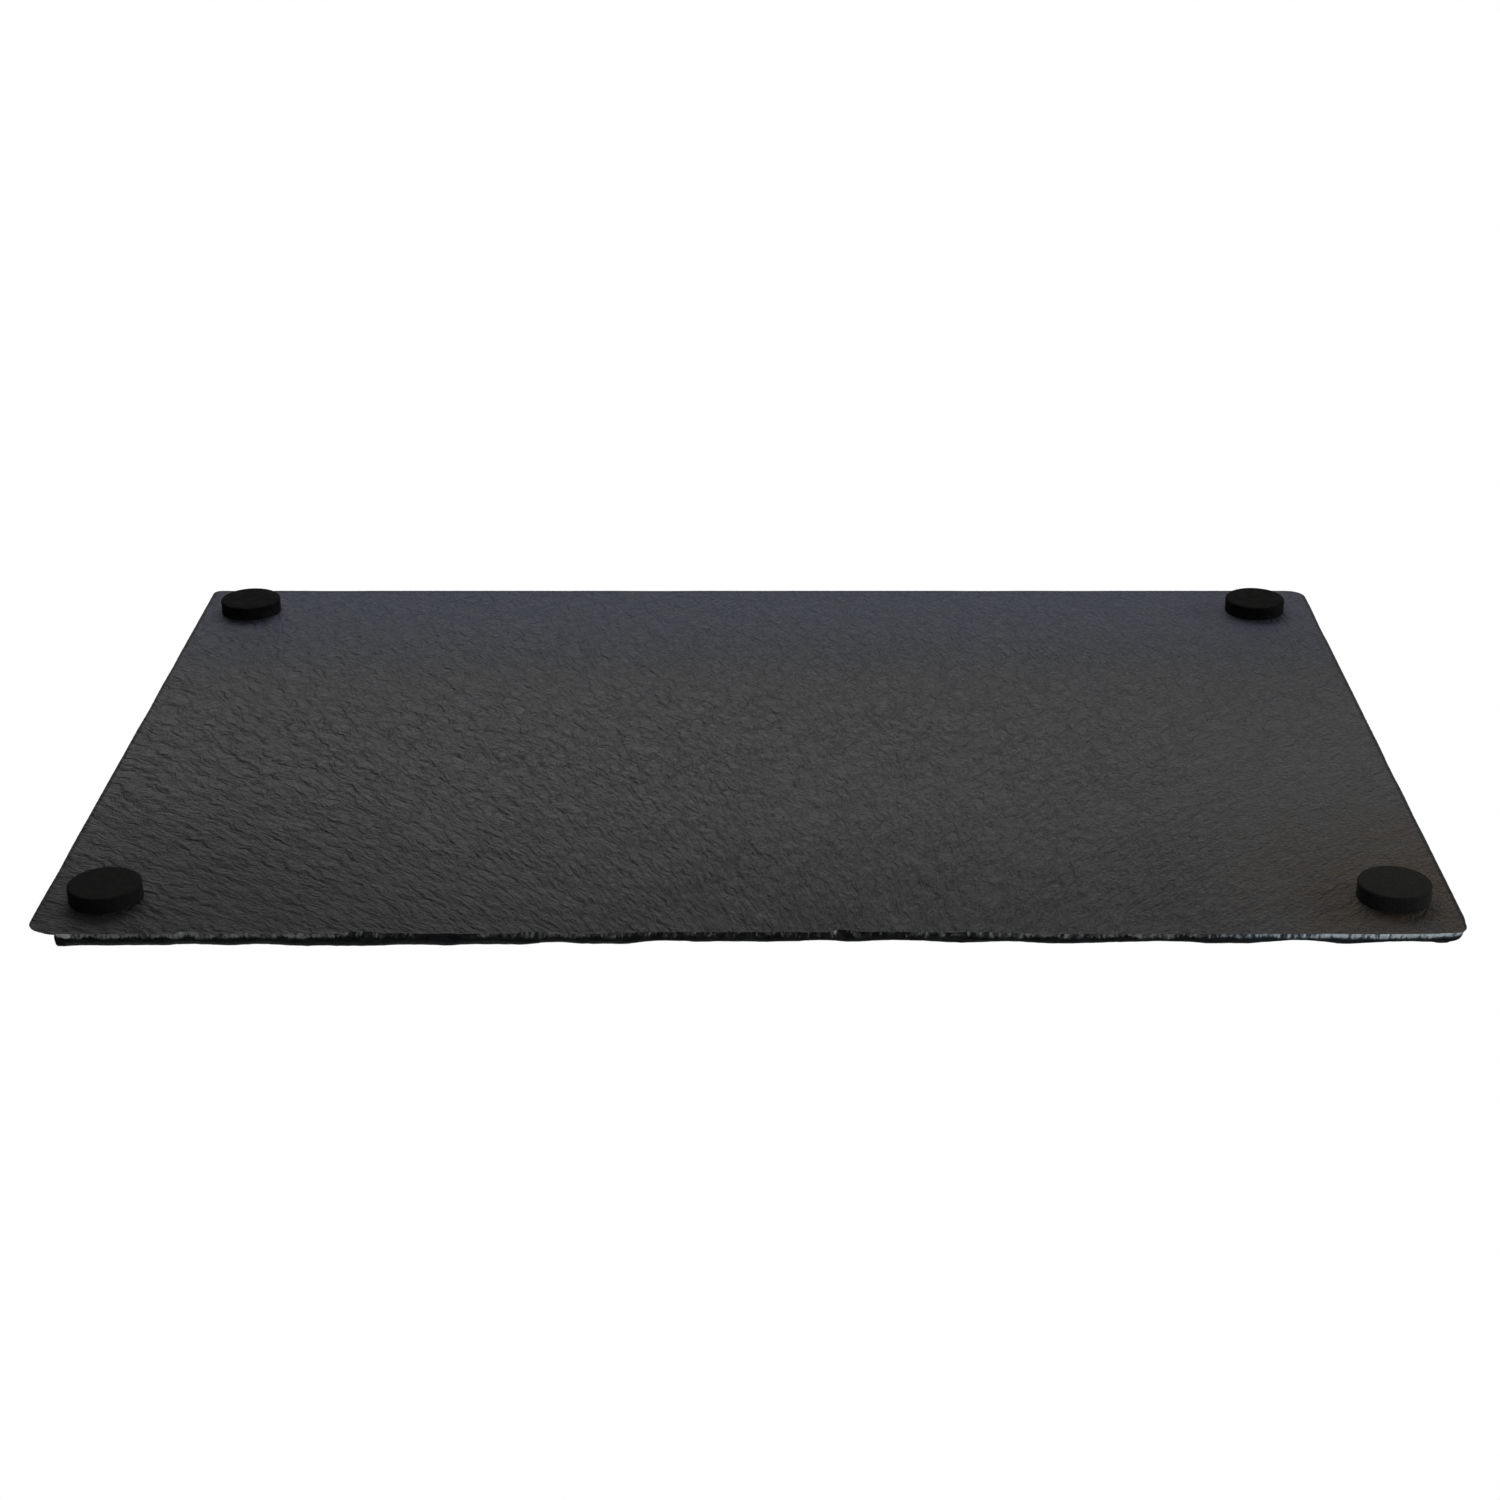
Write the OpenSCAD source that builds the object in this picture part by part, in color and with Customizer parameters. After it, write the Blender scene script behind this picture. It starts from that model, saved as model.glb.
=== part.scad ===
// Slate serving board on four stick-on feet.
// A rectangle of split slate lies on four round foam pads. Each pad holds to the slate
// by its own adhesive disc. The slate's edge is dressed by hand: a short lip stands at
// the underside, and above it a chipped bevel runs back to the smaller serving face. The
// front right corner has sheared off from above and left a thin tip at the underside.
// Millimetres, +Z up. The feet stand on z = 0, and the origin is midway between the
// board's ends and sides. Front is -Y and right is +X.

/* [Board] */
// Length of the slate from end to end, on its underside
board_length = 300; // [220:5:450]
// Width of the slate from front to back, on its underside
board_width = 200; // [150:5:320]
// Thickness of the split slate
slate_thickness = 5; // [4:0.5:8]

/* [Corners] */
// Radius of the underside's front left corner
front_left_radius = 3; // [1:0.5:8]
// How far the knock on the front right corner reaches along the front
front_right_knock_length = 6; // [1:0.5:10]
// How far the same knock reaches along the right end
front_right_knock_depth = 5; // [1:0.5:10]
// Radius of the underside's back right corner
back_right_radius = 2; // [1:0.5:8]
// Radius of the underside's back left corner
back_left_radius = 4.5; // [1:0.5:8]
// Radius of the serving face's corners, where the bevel ends
serving_corner_radius = 1.2; // [1:0.2:8]
// Distance that scars and flakes keep from the corners
corner_clearance = 5; // [2:0.5:10]

/* [Dressed edge] */
// Height of the plain lip between the underside and the bevel
lip_height = 1.2; // [0.6:0.1:2]
// How far the lip leans in over its height
lip_lean = 0.3; // [0.1:0.1:0.6]
// Set-back of the bevel along the front
front_bevel = 3; // [3:0.2:9]
// Set-back of the bevel along the right end
right_bevel = 5.2; // [2:0.2:9]
// Set-back of the bevel along the back
back_bevel = 4.4; // [3:0.2:9]
// Set-back of the bevel along the left end
left_bevel = 2.4; // [2:0.2:9]
// Depth of the slow waves that hand cutting leaves in the outline
cut_wave_depth = 0.15; // [0.1:0.05:0.8]
// Length of one of those waves
cut_wave_length = 46; // [20:1:90]

/* [Sheared corner] */
// Thickness of the thin tip that is left at the front right corner
tip_thickness = 0.4; // [0.3:0.1:0.8]
// Thickness of the tip where it meets the wall behind it
tip_root_thickness = 0.9; // [0.9:0.1:1.2]
// How far the wall behind the tip is set back from the right end
tip_reach = 5.8; // [5:0.2:9]
// How far the shear runs from the corner along the right end
shear_length = 24; // [10:1:60]

/* [Chips] */
// Distance between the small chips along the edge
chip_pitch = 7; // [6:0.5:14]
// Depth of the deepest small chip
chip_depth = 0.4; // [0.3:0.1:1.5]
// Depth of the deepest large scar along the front
front_scar_depth = 3.2; // [1:0.1:4]
// Distance between the large scars on the sides that have no scars of their own below
scar_pitch = 30; // [20:1:60]
// Depth of the deepest large scar on those sides
scar_depth = 2; // [0.5:0.1:3]
// Number that picks one pattern of chips
chip_seed = 12; // [1:1:99]

/* [Flakes] */
// Distance between the thin flakes that have split from the serving face
flake_pitch = 26; // [16:1:50]
// How far the widest flake reaches in from the edge
flake_reach = 7; // [3:0.5:10]
// Thickness of the thickest flake
flake_depth = 0.45; // [0.2:0.05:1]
// Width of the small slope round each flake
flake_step = 0.5; // [0.3:0.1:1]
// Height that wear takes off the serving face's edge
edge_wear = 0.1; // [0.05:0.05:0.4]

/* [Feet] */
// Diameter of a foam pad
pad_diameter = 16; // [12:0.5:22]
// Height of a foam pad without its adhesive
pad_height = 3.5; // [2:0.5:6]
// Radius of the pad's rim where it stands on the table
pad_rim_radius = 0.5; // [0.2:0.1:0.9]
// Thickness of the adhesive disc
adhesive_thickness = 0.2; // [0.1:0.05:0.5]
// How far the adhesive stays back from the pad's rim
adhesive_margin = 0.4; // [0.2:0.1:1]

/* [Places of the feet] */
// Front left foot, its centre in from the left end
front_left_foot_in = 12.5; // [12:0.1:40]
// Front left foot, its centre back from the front
front_left_foot_back = 16.7; // [12:0.1:40]
// Front right foot, its centre in from the right end
front_right_foot_in = 13; // [12:0.1:40]
// Front right foot, its centre back from the front
front_right_foot_back = 16.2; // [12:0.1:40]
// Back left foot, its centre in from the left end
back_left_foot_in = 15.3; // [12:0.1:40]
// Back left foot, its centre forward from the back
back_left_foot_forward = 14.6; // [12:0.1:40]
// Back right foot, its centre in from the right end
back_right_foot_in = 12.5; // [12:0.1:40]
// Back right foot, its centre forward from the back
back_right_foot_forward = 14.9; // [12:0.1:40]

/* [Detail] */
// Distance between the points round the edge
station_pitch = 2.2; // [2:0.2:5]

/* [Hidden] */

$fn = 96;

slate_colour = [0.21, 0.22, 0.23];
pad_colour = [0.07, 0.07, 0.07];
adhesive_colour = [0.3, 0.3, 0.28];

// Heights of the slate's two faces above the table
underside_z = pad_height + adhesive_thickness;
serving_z = underside_z + slate_thickness;

// Places of the feet as [x, y]
right_x = board_length / 2;
back_y = board_width / 2;
front_left_foot = [front_left_foot_in - right_x, front_left_foot_back - back_y];
front_right_foot = [right_x - front_right_foot_in, front_right_foot_back - back_y];
back_left_foot = [back_left_foot_in - right_x, back_y - back_left_foot_forward];
back_right_foot = [right_x - back_right_foot_in, back_y - back_right_foot_forward];

// Sides and corners are counted anticlockwise seen from above.
// Corner 0 is the front left one, and side 0 is the front, which starts there.
corner_signs = [[-1, -1], [1, -1], [1, 1], [-1, 1]];
underside_corners = [
    [front_left_radius, front_left_radius],
    [front_right_knock_length, front_right_knock_depth],
    [back_right_radius, back_right_radius],
    [back_left_radius, back_left_radius],
];
serving_corner = [serving_corner_radius, serving_corner_radius];
corner_steps = 6;
side_steps = [for (c = [0:3]) round((c % 2 == 0 ? board_length : board_width) / station_pitch)];

// The bevel's set-back on each side. The bevel is steep over the lip and flatter
// towards the serving face.
bevels = [front_bevel, right_bevel, back_bevel, left_bevel];
bevel_steps = 3;
bevel_curve = 1.4;

// The front's large scars: middle as a share of the front from the left, width as a
// share of the front, depth as a share of the deepest
front_scar_shares = [
    [0.045, 0.125, 0.90],
    [0.115, 0.104, 0.90],
    [0.149, 0.113, 0.63],
    [0.234, 0.187, 0.79],
    [0.323, 0.130, 0.80],
    [0.402, 0.159, 1.00],
    [0.464, 0.155, 1.00],
    [0.509, 0.152, 0.94],
    [0.558, 0.100, 0.93],
    [0.600, 0.097, 0.60],
    [0.633, 0.064, 0.84],
    [0.678, 0.083, 0.50],
    [0.732, 0.073, 0.33],
    [0.796, 0.041, 0.20],
    [0.840, 0.083, 0.33],
    [0.887, 0.072, 0.31],
    [0.948, 0.111, 0.31],
];

// Least and greatest size of what is random, as shares of its named size
shift_shares = [-0.3, 0.3];
chip_width_shares = [0.45, 0.95];
chip_depth_shares = [0.1, 1];
scar_width_shares = [0.25, 0.6];
scar_depth_shares = [0.2, 1];
flake_width_shares = [0.2, 0.6];
flake_depth_shares = [0.1, 1];
// A scar has this share of its full width where it starts, at the lip
scar_root_share = 0.45;

// Stations round the board, the same on every ring, each as
// [corner or side, share of the way along it, whether it is on a corner]
stations = [
    for (c = [0:3]) each concat(
        [for (k = [0:corner_steps]) [c, k / corner_steps, true]],
        [for (k = [1:side_steps[c] - 1]) [c, k / side_steps[c], false]]
    )
];
station_count = len(stations);
every_station = [0:station_count - 1];

// Point on a corner's quarter ellipse. insets are a ring's set-backs from the four
// sides, and reaches its corners' sizes.
function corner_spot(c, share, insets, reaches) =
    let (
        side = corner_signs[c],
        reach = reaches[c],
        turn = 180 + 90 * (c + share),
        centre_x = side.x * (board_length / 2 - insets[side.x < 0 ? 3 : 1] - reach.x),
        centre_y = side.y * (board_width / 2 - insets[side.y < 0 ? 0 : 2] - reach.y)
    )
    [centre_x + reach.x * cos(turn), centre_y + reach.y * sin(turn)];

// A station's point on a ring
function spot(station, insets, reaches) =
    let (c = station[0], share = station[1])
    station[2]
        ? corner_spot(c, share, insets, reaches)
        : corner_spot(c, 1, insets, reaches) * (1 - share)
            + corner_spot((c + 1) % 4, 0, insets, reaches) * share;

// A ring's insets with a cut added on the station's own side, or on both sides of a
// corner, and with the shear of the front right corner added on the right end
function cut_insets(insets, station, cut, shear) = [
    for (side = [0:3])
        let (own = side == station[0] || (station[2] && side == (station[0] + 3) % 4))
        insets[side] + (own ? cut : 0) + (side == 1 ? shear : 0)
];

// A ring of 3-D points. cuts are how far its stations are cut in, shears how far the front
// right corner's shear sets them back, and heights their heights.
function ring(insets, reaches, cuts, shears, heights) = [
    for (i = every_station)
        let (point = spot(stations[i], cut_insets(insets, stations[i], cuts[i], shears[i]), reaches))
        [point.x, point.y, heights[i]]
];

// The underside's plain outline, and each station's place along it
outline = [for (station = stations) spot(station, [0, 0, 0, 0], underside_corners)];
places = [
    for (
        i = 0, place = 0;
        i <= station_count;
        place = place + norm(outline[(i + 1) % station_count] - outline[i % station_count]),
        i = i + 1
    )
        place
];
perimeter = places[station_count];

// Places at which the four sides start
side_starts = [
    for (c = 0, first = corner_steps; c < 4; first = first + corner_steps + side_steps[c], c = c + 1)
        places[first]
];

// A distance along the outline, taken the shorter way round
function shorter_way(distance) = distance - perimeter * round(distance / perimeter);

// Depth of a hollow: 1 in its middle and 0 past its half width
function bowl(distance, half_width) = max(0, 1 - pow(distance / half_width, 2));

// Random numbers between two shares, the same ones for the same seed
function shares_between(limits, count, seed) = rands(limits[0], limits[1], count, chip_seed + seed);

// Marks strung along the whole outline, as [place, half width, depth]
function strung_marks(pitch, depth, width_shares, depth_shares, seed) =
    let (
        count = round(perimeter / pitch),
        step = perimeter / count,
        shift = shares_between(shift_shares, count, seed),
        width = shares_between(width_shares, count, seed + 1),
        deep = shares_between(depth_shares, count, seed + 2)
    )
    [for (i = [0:count - 1]) [(i + 0.5 + shift[i]) * step, pitch * width[i], depth * deep[i]]];

// Does a mark end before the corners?
function off_corners(mark) =
    min([for (start = side_starts) abs(shorter_way(mark[0] - start))])
        > mark[1] + corner_clearance;

// The deepest cut that any of the marks makes at a place. Marks widen with spread.
function deepest(marks, place, spread) = max([
    for (mark = marks) mark[2] * bowl(shorter_way(place - mark[0]), mark[1] * spread)
]);

chips = strung_marks(chip_pitch, chip_depth, chip_width_shares, chip_depth_shares, 0);
front_scars = [
    for (scar = front_scar_shares)
        [
            side_starts[0] - front_left_radius + board_length * scar[0],
            board_length * scar[1] / 2,
            front_scar_depth * scar[2]
        ]
];
other_scars = [
    for (scar = strung_marks(scar_pitch, scar_depth, scar_width_shares, scar_depth_shares, 3))
        if (scar[0] > side_starts[1] && off_corners(scar)) scar
];
scars = concat(front_scars, other_scars);
flakes = [
    for (flake = strung_marks(flake_pitch, 1, flake_width_shares, flake_depth_shares, 6))
        if (off_corners(flake)) flake
];

// Slow waves of the cut outline. They only cut in, so each side keeps its full reach.
wave_count = round(perimeter / cut_wave_length);
function cut_wave(place) =
    let (turn = 360 * place / perimeter)
    cut_wave_depth * max(0, sin(turn * wave_count) * cos(turn * (floor(wave_count / 2) + 1)));

// How far every station is cut in, at a share of the bevel's height
function cuts_at(rise) =
    let (spread = scar_root_share + (1 - scar_root_share) * rise)
    [
        for (i = every_station)
            let (chip = deepest(chips, places[i], spread), scar = deepest(scars, places[i], spread))
            cut_wave(places[i]) + rise * (chip + scar)
    ];

edge_cuts = cuts_at(1);

// How much of the front right corner's shear there is at every station: all of it on the
// corner, and less and less along the right end
shear_shares = [
    for (i = every_station)
        stations[i][0] == 1 ? bowl(max(0, places[i] - side_starts[1]), shear_length) : 0
];
no_shear = 0 * shear_shares;

// The front's stations have the whole set-back, since they lie on a line to that corner
set_back_shares = [for (i = every_station) stations[i][0] == 0 ? 1 : shear_shares[i]];

// How far the shear sets every station back beyond a ring's own inset
function shears_beyond(inset) = max(0, tip_reach - inset) * set_back_shares;

// Share of the thickest flake that has split off at every station
flake_shares = [for (i = every_station) deepest(flakes, places[i], 1)];

// Ring at the underside, where only the outline's waves show
underside_ring = ring(
    [0, 0, 0, 0], underside_corners, cuts_at(0), no_shear,
    [for (i = every_station) underside_z]
);

// Heights above the underside that the first two of the next rings have at the shear
shear_heights = [tip_thickness, tip_root_thickness];

// Rings from the top of the lip up to the serving face's edge. The corners change from
// the underside's sizes to the serving face's on the way. Above its thin tip the sheared
// corner has the serving face's size at once.
bevel_rings = [
    for (k = [0:bevel_steps])
        let (
            rise = k / bevel_steps,
            rise_z = lip_height + (slate_thickness - lip_height) * rise,
            insets = [for (bevel = bevels) lip_lean + (bevel - lip_lean) * pow(rise, bevel_curve)],
            turns = [rise, k > 0 ? 1 : 0, rise, rise]
        )
        ring(
            insets,
            [for (c = [0:3]) underside_corners[c] * (1 - turns[c]) + serving_corner * turns[c]],
            cuts_at(rise),
            k > 0 ? shears_beyond(insets[1]) : no_shear,
            [
                for (i = every_station)
                    let (drop = k < len(shear_heights) ? (rise_z - shear_heights[k]) * shear_shares[i] : 0)
                    underside_z + rise_z - drop - rise * (edge_wear + flake_depth * flake_shares[i])
            ]
        )
];

// Ring on the serving face, a land's width in from the edge and round the flakes
function face_ring(land, heights) = ring(
    [for (bevel = bevels) bevel + land],
    [for (c = [0:3]) serving_corner],
    [for (i = every_station) edge_cuts[i] + flake_reach * flake_shares[i]],
    shears_beyond(right_bevel),
    heights
);
flake_ring = face_ring(flake_step, [for (share = flake_shares) serving_z - flake_depth * share]);
top_ring = face_ring(2 * flake_step, [for (i = every_station) serving_z]);

// Triangles between one ring and the next, seen from outside
function band_faces(level) = [
    for (i = every_station)
        let (
            a = level * station_count + i,
            b = level * station_count + (i + 1) % station_count,
            c = b + station_count,
            d = a + station_count
        )
        each [[a, d, c], [a, c, b]]
];

// Slate with its dressed and chipped edge, lofted through the rings
module slate_board() {
    rings = concat([underside_ring], bevel_rings, [flake_ring, top_ring]);
    ring_count = len(rings);
    last = (ring_count - 1) * station_count;
    low_centre = ring_count * station_count;
    high_centre = low_centre + 1;
    points = concat([for (ring = rings) each ring], [[0, 0, underside_z], [0, 0, serving_z]]);
    faces = concat(
        [for (r = [0:ring_count - 2]) each band_faces(r)],
        [for (i = every_station) [low_centre, i, (i + 1) % station_count]],
        [for (i = every_station) [high_centre, last + (i + 1) % station_count, last + i]]
    );
    color(slate_colour) polyhedron(points = points, faces = faces, convexity = 4);
}

// Die-cut foam pad, with its rim rounded where it stands
module foot_pad(place) {
    radius = pad_diameter / 2;
    color(pad_colour)
    translate([place.x, place.y, 0])
    rotate_extrude()
    union() {
        translate([0, pad_rim_radius]) square([radius, pad_height - pad_rim_radius]);
        square([radius - pad_rim_radius, pad_height]);
        translate([radius - pad_rim_radius, pad_rim_radius]) circle(r = pad_rim_radius);
    }
}

// Double-sided adhesive disc between a pad and the slate
module adhesive_disc(place) {
    color(adhesive_colour)
    translate([place.x, place.y, pad_height])
    cylinder(r = pad_diameter / 2 - adhesive_margin, h = adhesive_thickness);
}

slate_board();
foot_pad(front_left_foot);  // foot_pad_front_left
foot_pad(front_right_foot);  // foot_pad_front_right
foot_pad(back_left_foot);  // foot_pad_back_left
foot_pad(back_right_foot);  // foot_pad_back_right
adhesive_disc(front_left_foot);  // adhesive_disc_front_left
adhesive_disc(front_right_foot);  // adhesive_disc_front_right
adhesive_disc(back_left_foot);  // adhesive_disc_back_left
adhesive_disc(back_right_foot);  // adhesive_disc_back_right
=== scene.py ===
"""Slate serving board on four stick-on foam feet.

The board stands on its feet with its serving face up, as it is used. The camera looks up
at the underside from below the floor and is rolled over, so that the picture shows the
board turned face down. Lengths are metres, or millimetres where a name ends in _mm and
in every finish.
"""

import logging
import math
from dataclasses import dataclass
from enum import Enum
from functools import reduce
from typing import Any, Callable

import bmesh
import bpy
from mathutils import Matrix, Vector, noise
from mathutils.bvhtree import BVHTree


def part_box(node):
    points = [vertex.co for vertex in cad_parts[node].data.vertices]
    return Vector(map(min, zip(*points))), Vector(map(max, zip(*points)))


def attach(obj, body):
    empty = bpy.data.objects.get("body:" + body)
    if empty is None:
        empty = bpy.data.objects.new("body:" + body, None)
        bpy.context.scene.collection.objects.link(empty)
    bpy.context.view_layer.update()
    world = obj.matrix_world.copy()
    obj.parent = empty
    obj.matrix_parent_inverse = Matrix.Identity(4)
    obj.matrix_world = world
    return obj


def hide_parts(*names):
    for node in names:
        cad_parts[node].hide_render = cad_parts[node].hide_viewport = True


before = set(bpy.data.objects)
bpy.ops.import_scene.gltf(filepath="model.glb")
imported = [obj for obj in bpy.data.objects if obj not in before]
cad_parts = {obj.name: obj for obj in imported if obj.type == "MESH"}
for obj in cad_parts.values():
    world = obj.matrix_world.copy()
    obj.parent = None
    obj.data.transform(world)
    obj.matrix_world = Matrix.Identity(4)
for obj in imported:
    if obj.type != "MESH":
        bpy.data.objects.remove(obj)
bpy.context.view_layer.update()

log = logging.getLogger("serving_board")

Socket = bpy.types.NodeSocket
Outputs = bpy.types.bpy_prop_collection
Piece = bpy.types.Object
Range = tuple[float, float]
Place = tuple[float, float, float]
Colour = tuple[float, float, float, float]
# A fade holds the two ends of a range of values, and what each of them becomes
Fade = tuple[float, float, float, float]

BODY = "root"
MM = 0.001
WHITE: Colour = (1.0, 1.0, 1.0, 1.0)
# Places on the blank slab that are nearer than this are one place
TOUCH = 1e-6
# The riven lines run straight past this centre, and bend this far to the front or back of it
LINE_CENTRE_MM: Place = (-30.0, 84.0, 0.0)
LINE_BEND_MM = 148.0
# Number of bends to either side of the centre at which the lines lie twice as far apart
LINE_SPREAD = 1.7


class Foot(Enum):
    """The four feet, by the ends of their nodes' names."""

    FRONT_LEFT = "front_left"
    FRONT_RIGHT = "front_right"
    BACK_LEFT = "back_left"
    BACK_RIGHT = "back_right"


class Side(Enum):
    """The slate's three kinds of surface, each with the number of its material."""

    UNDERSIDE = 0
    SERVING = 1
    EDGE = 2


class Mask(Enum):
    """Values that the slate's mesh carries for its finish, one at each point."""

    BRUISE = "bruise"
    ROUND = "way_round_mm"


def as_share(value: float) -> float:
    """Turns a value from -1 to 1 into a share from 0 to 1."""
    return 0.5 + 0.5 * value


def smooth_share(value: float, low: float, high: float) -> float:
    """Says how far a value is on its way from low to high, from 0 to 1 and eased at both ends."""
    share = min(1.0, max(0.0, (value - low) / (high - low)))
    return share * share * (3 - 2 * share)


def keep_mesh(name: str, work: bmesh.types.BMesh) -> Piece:
    """Turns a finished bmesh into an object at the origin.

    Args:
        name: The piece's name.
        work: The bmesh, which is freed.

    Returns:
        The new object, linked to the scene.
    """
    mesh = bpy.data.meshes.new(name)
    work.to_mesh(mesh)
    work.free()
    piece = bpy.data.objects.new(name, mesh)
    bpy.context.scene.collection.objects.link(piece)
    return piece


def report(piece: Piece) -> None:
    """Logs a piece's name, its triangles and its size.

    Args:
        piece: The piece.
    """
    mesh = piece.data
    mesh.calc_loop_triangles()
    size = " x ".join(f"{side / MM:.2f}" for side in piece.dimensions)
    log.info("%s: %d triangles, %s mm", piece.name, len(mesh.loop_triangles), size)


class Wiring:
    """Adds nodes to one node tree and joins their sockets."""

    def __init__(self, tree: bpy.types.NodeTree) -> None:
        """Keeps the tree that the nodes go into."""
        self.tree = tree

    def add(self, kind: str, inputs: dict[int | str, Any], **settings: Any) -> bpy.types.Node:
        """Adds one node.

        Args:
            kind: The node's type.
            inputs: A value or a socket for each input, by its name or its number.
            **settings: The node's own settings.

        Returns:
            The node.
        """
        node = self.tree.nodes.new(kind)
        for setting, value in settings.items():
            setattr(node, setting, value)
        for key, value in inputs.items():
            if isinstance(value, Socket):
                self.tree.links.new(value, node.inputs[key])
            else:
                node.inputs[key].default_value = value
        return node

    def math(self, operation: str, *values: Any) -> Socket:
        """Works out a number from one, two or three others, in their order."""
        return self.add("ShaderNodeMath", dict(enumerate(values)), operation=operation).outputs[0]

    def product(self, *factors: Any) -> Socket:
        """Multiplies two or more numbers."""
        return reduce(lambda so_far, factor: self.math("MULTIPLY", so_far, factor), factors)

    def vector(self, operation: str, *values: Any) -> Socket:
        """Works out a vector from one or two others, in their order."""
        inputs = dict(enumerate(values))
        return self.add("ShaderNodeVectorMath", inputs, operation=operation).outputs["Vector"]

    def distance(self, place: Any, other: Any) -> Socket:
        """Measures how far two places are from each other."""
        inputs = {0: place, 1: other}
        return self.add("ShaderNodeVectorMath", inputs, operation="DISTANCE").outputs["Value"]

    def sized(self, place: Any, size: Any) -> Socket:
        """Measures a place in units of a size, which is a number or a socket."""
        return self.vector("DIVIDE", place, size if isinstance(size, Socket) else (size, size, size))

    def axes(self, place: Any) -> tuple[Socket, ...]:
        """Splits a place into its three numbers."""
        return tuple(self.add("ShaderNodeSeparateXYZ", {0: place}).outputs)

    def flat_place(self, across: Any, along: Any = 0.0) -> Socket:
        """Makes a place from its first two numbers."""
        return self.add("ShaderNodeCombineXYZ", {0: across, 1: along}).outputs[0]

    def spread(
        self, value: Any, low: float, high: float, to_low: Any = 0.0, to_high: Any = 1.0
    ) -> Socket:
        """Maps the values from low to high to those from to_low to to_high, eased at both ends."""
        inputs = {"Value": value, "From Min": low, "From Max": high, "To Min": to_low, "To Max": to_high}
        return self.add("ShaderNodeMapRange", inputs, interpolation_type="SMOOTHSTEP").outputs[0]

    def blend(self, share: Any, first: Any, second: Any) -> Socket:
        """Mixes two colours, with this share of the second one."""
        return self.add("ShaderNodeMix", {0: share, 6: first, 7: second}, data_type="RGBA").outputs[2]

    def noise(self, place: Any, detail: float, roughness: float, kind: str = "FBM") -> Socket:
        """Reads a noise with lumps one unit apart, finer octaves and a share that each one keeps."""
        inputs = {"Vector": place, "Scale": 1.0, "Detail": detail, "Roughness": roughness}
        return self.add("ShaderNodeTexNoise", inputs, noise_type=kind, normalize=True).outputs[0]

    def place_mm(self) -> Socket:
        """Reads the place on the object in millimetres."""
        return self.sized(self.add("ShaderNodeTexCoord", {}).outputs["Object"], MM)

    def mask(self, mask: Mask) -> Socket:
        """Reads one of the values that the mesh carries."""
        return self.add("ShaderNodeAttribute", {}, attribute_name=mask.value).outputs["Fac"]

    def relief(self, heights: tuple[tuple[Any, float], ...]) -> Socket:
        """Stacks bumps on each other.

        Args:
            heights: Each bump's height from 0 to 1, and what a height of 1 is in millimetres.

        Returns:
            The normal's socket.
        """
        below: dict[str, Any] = {}
        for height, size_mm in heights:
            inputs = {"Height": height, "Distance": size_mm * MM, "Strength": 1.0, **below}
            below = {"Normal": self.add("ShaderNodeBump", inputs).outputs[0]}
        return below["Normal"]


class Effect:
    """A node group that several finishes share. It is built the first time it is placed.

    What it takes and what it gives are its sockets' names, each with its kind.
    """

    name = "effect"
    takes: dict[str, str] = {}
    gives: dict[str, str] = {}

    def tree(self) -> bpy.types.NodeTree:
        """Finds the group, or builds it if no finish has placed it yet.

        Returns:
            The group's tree.
        """
        made = bpy.data.node_groups.get(self.name)
        if made is None:
            made = bpy.data.node_groups.new(self.name, "ShaderNodeTree")
            for way, ports in (("INPUT", self.takes), ("OUTPUT", self.gives)):
                for port, kind in ports.items():
                    made.interface.new_socket(port, in_out=way, socket_type=f"NodeSocket{kind}")
            wiring = Wiring(made)
            entry = wiring.add("NodeGroupInput", {})
            wiring.add("NodeGroupOutput", self.wire(wiring, entry.outputs))
        return made

    def wire(self, wiring: Wiring, given: Any) -> dict[str, Any]:
        """Wires the inside from the inputs' sockets, and gives a socket for each output."""
        raise NotImplementedError

    def place(self, wiring: Wiring, **values: Any) -> Outputs:
        """Places the group with a value or a socket for each input, and gives its outputs."""
        return wiring.add("ShaderNodeGroup", values, node_tree=self.tree()).outputs


class Drift(Effect):
    """Slow change between two colours, as stone and foam have."""

    name = "colour_drift"
    takes = {"Place": "Vector", "Size": "Float", "Low": "Color", "High": "Color"}
    gives = {"Colour": "Color"}
    levels: Range = (0.32, 0.68)

    def wire(self, wiring: Wiring, given: Any) -> dict[str, Any]:
        """Wires a soft noise that mixes the two colours.

        Args:
            wiring: The group's tree.
            given: The sockets of the group's inputs.

        Returns:
            The mixed colour.
        """
        place = wiring.sized(given["Place"], given["Size"])
        share = wiring.spread(wiring.noise(place, 4.0, 0.6), *self.levels)
        return {"Colour": wiring.blend(share, given["Low"], given["High"])}


class Speckle(Effect):
    """Fine even grain, such as mineral grains or the cells of foam."""

    name = "speckle"
    takes = {"Place": "Vector", "Size": "Float"}
    gives = {"Height": "Float", "Pits": "Float"}
    pits: Fade = (0.15, 0.6, 1.0, 0.0)

    def wire(self, wiring: Wiring, given: Any) -> dict[str, Any]:
        """Wires a crumbly noise and the round pits between its grains.

        Args:
            wiring: The group's tree.
            given: The sockets of the group's inputs.

        Returns:
            The grain's height, and a mask of its pits, where some finishes paint shade.
        """
        place = wiring.sized(given["Place"], given["Size"])
        cells = wiring.add("ShaderNodeTexVoronoi", {"Vector": place, "Scale": 1.0}).outputs["Distance"]
        return {"Height": wiring.noise(place, 3.0, 0.62), "Pits": wiring.spread(cells, *self.pits)}


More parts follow.
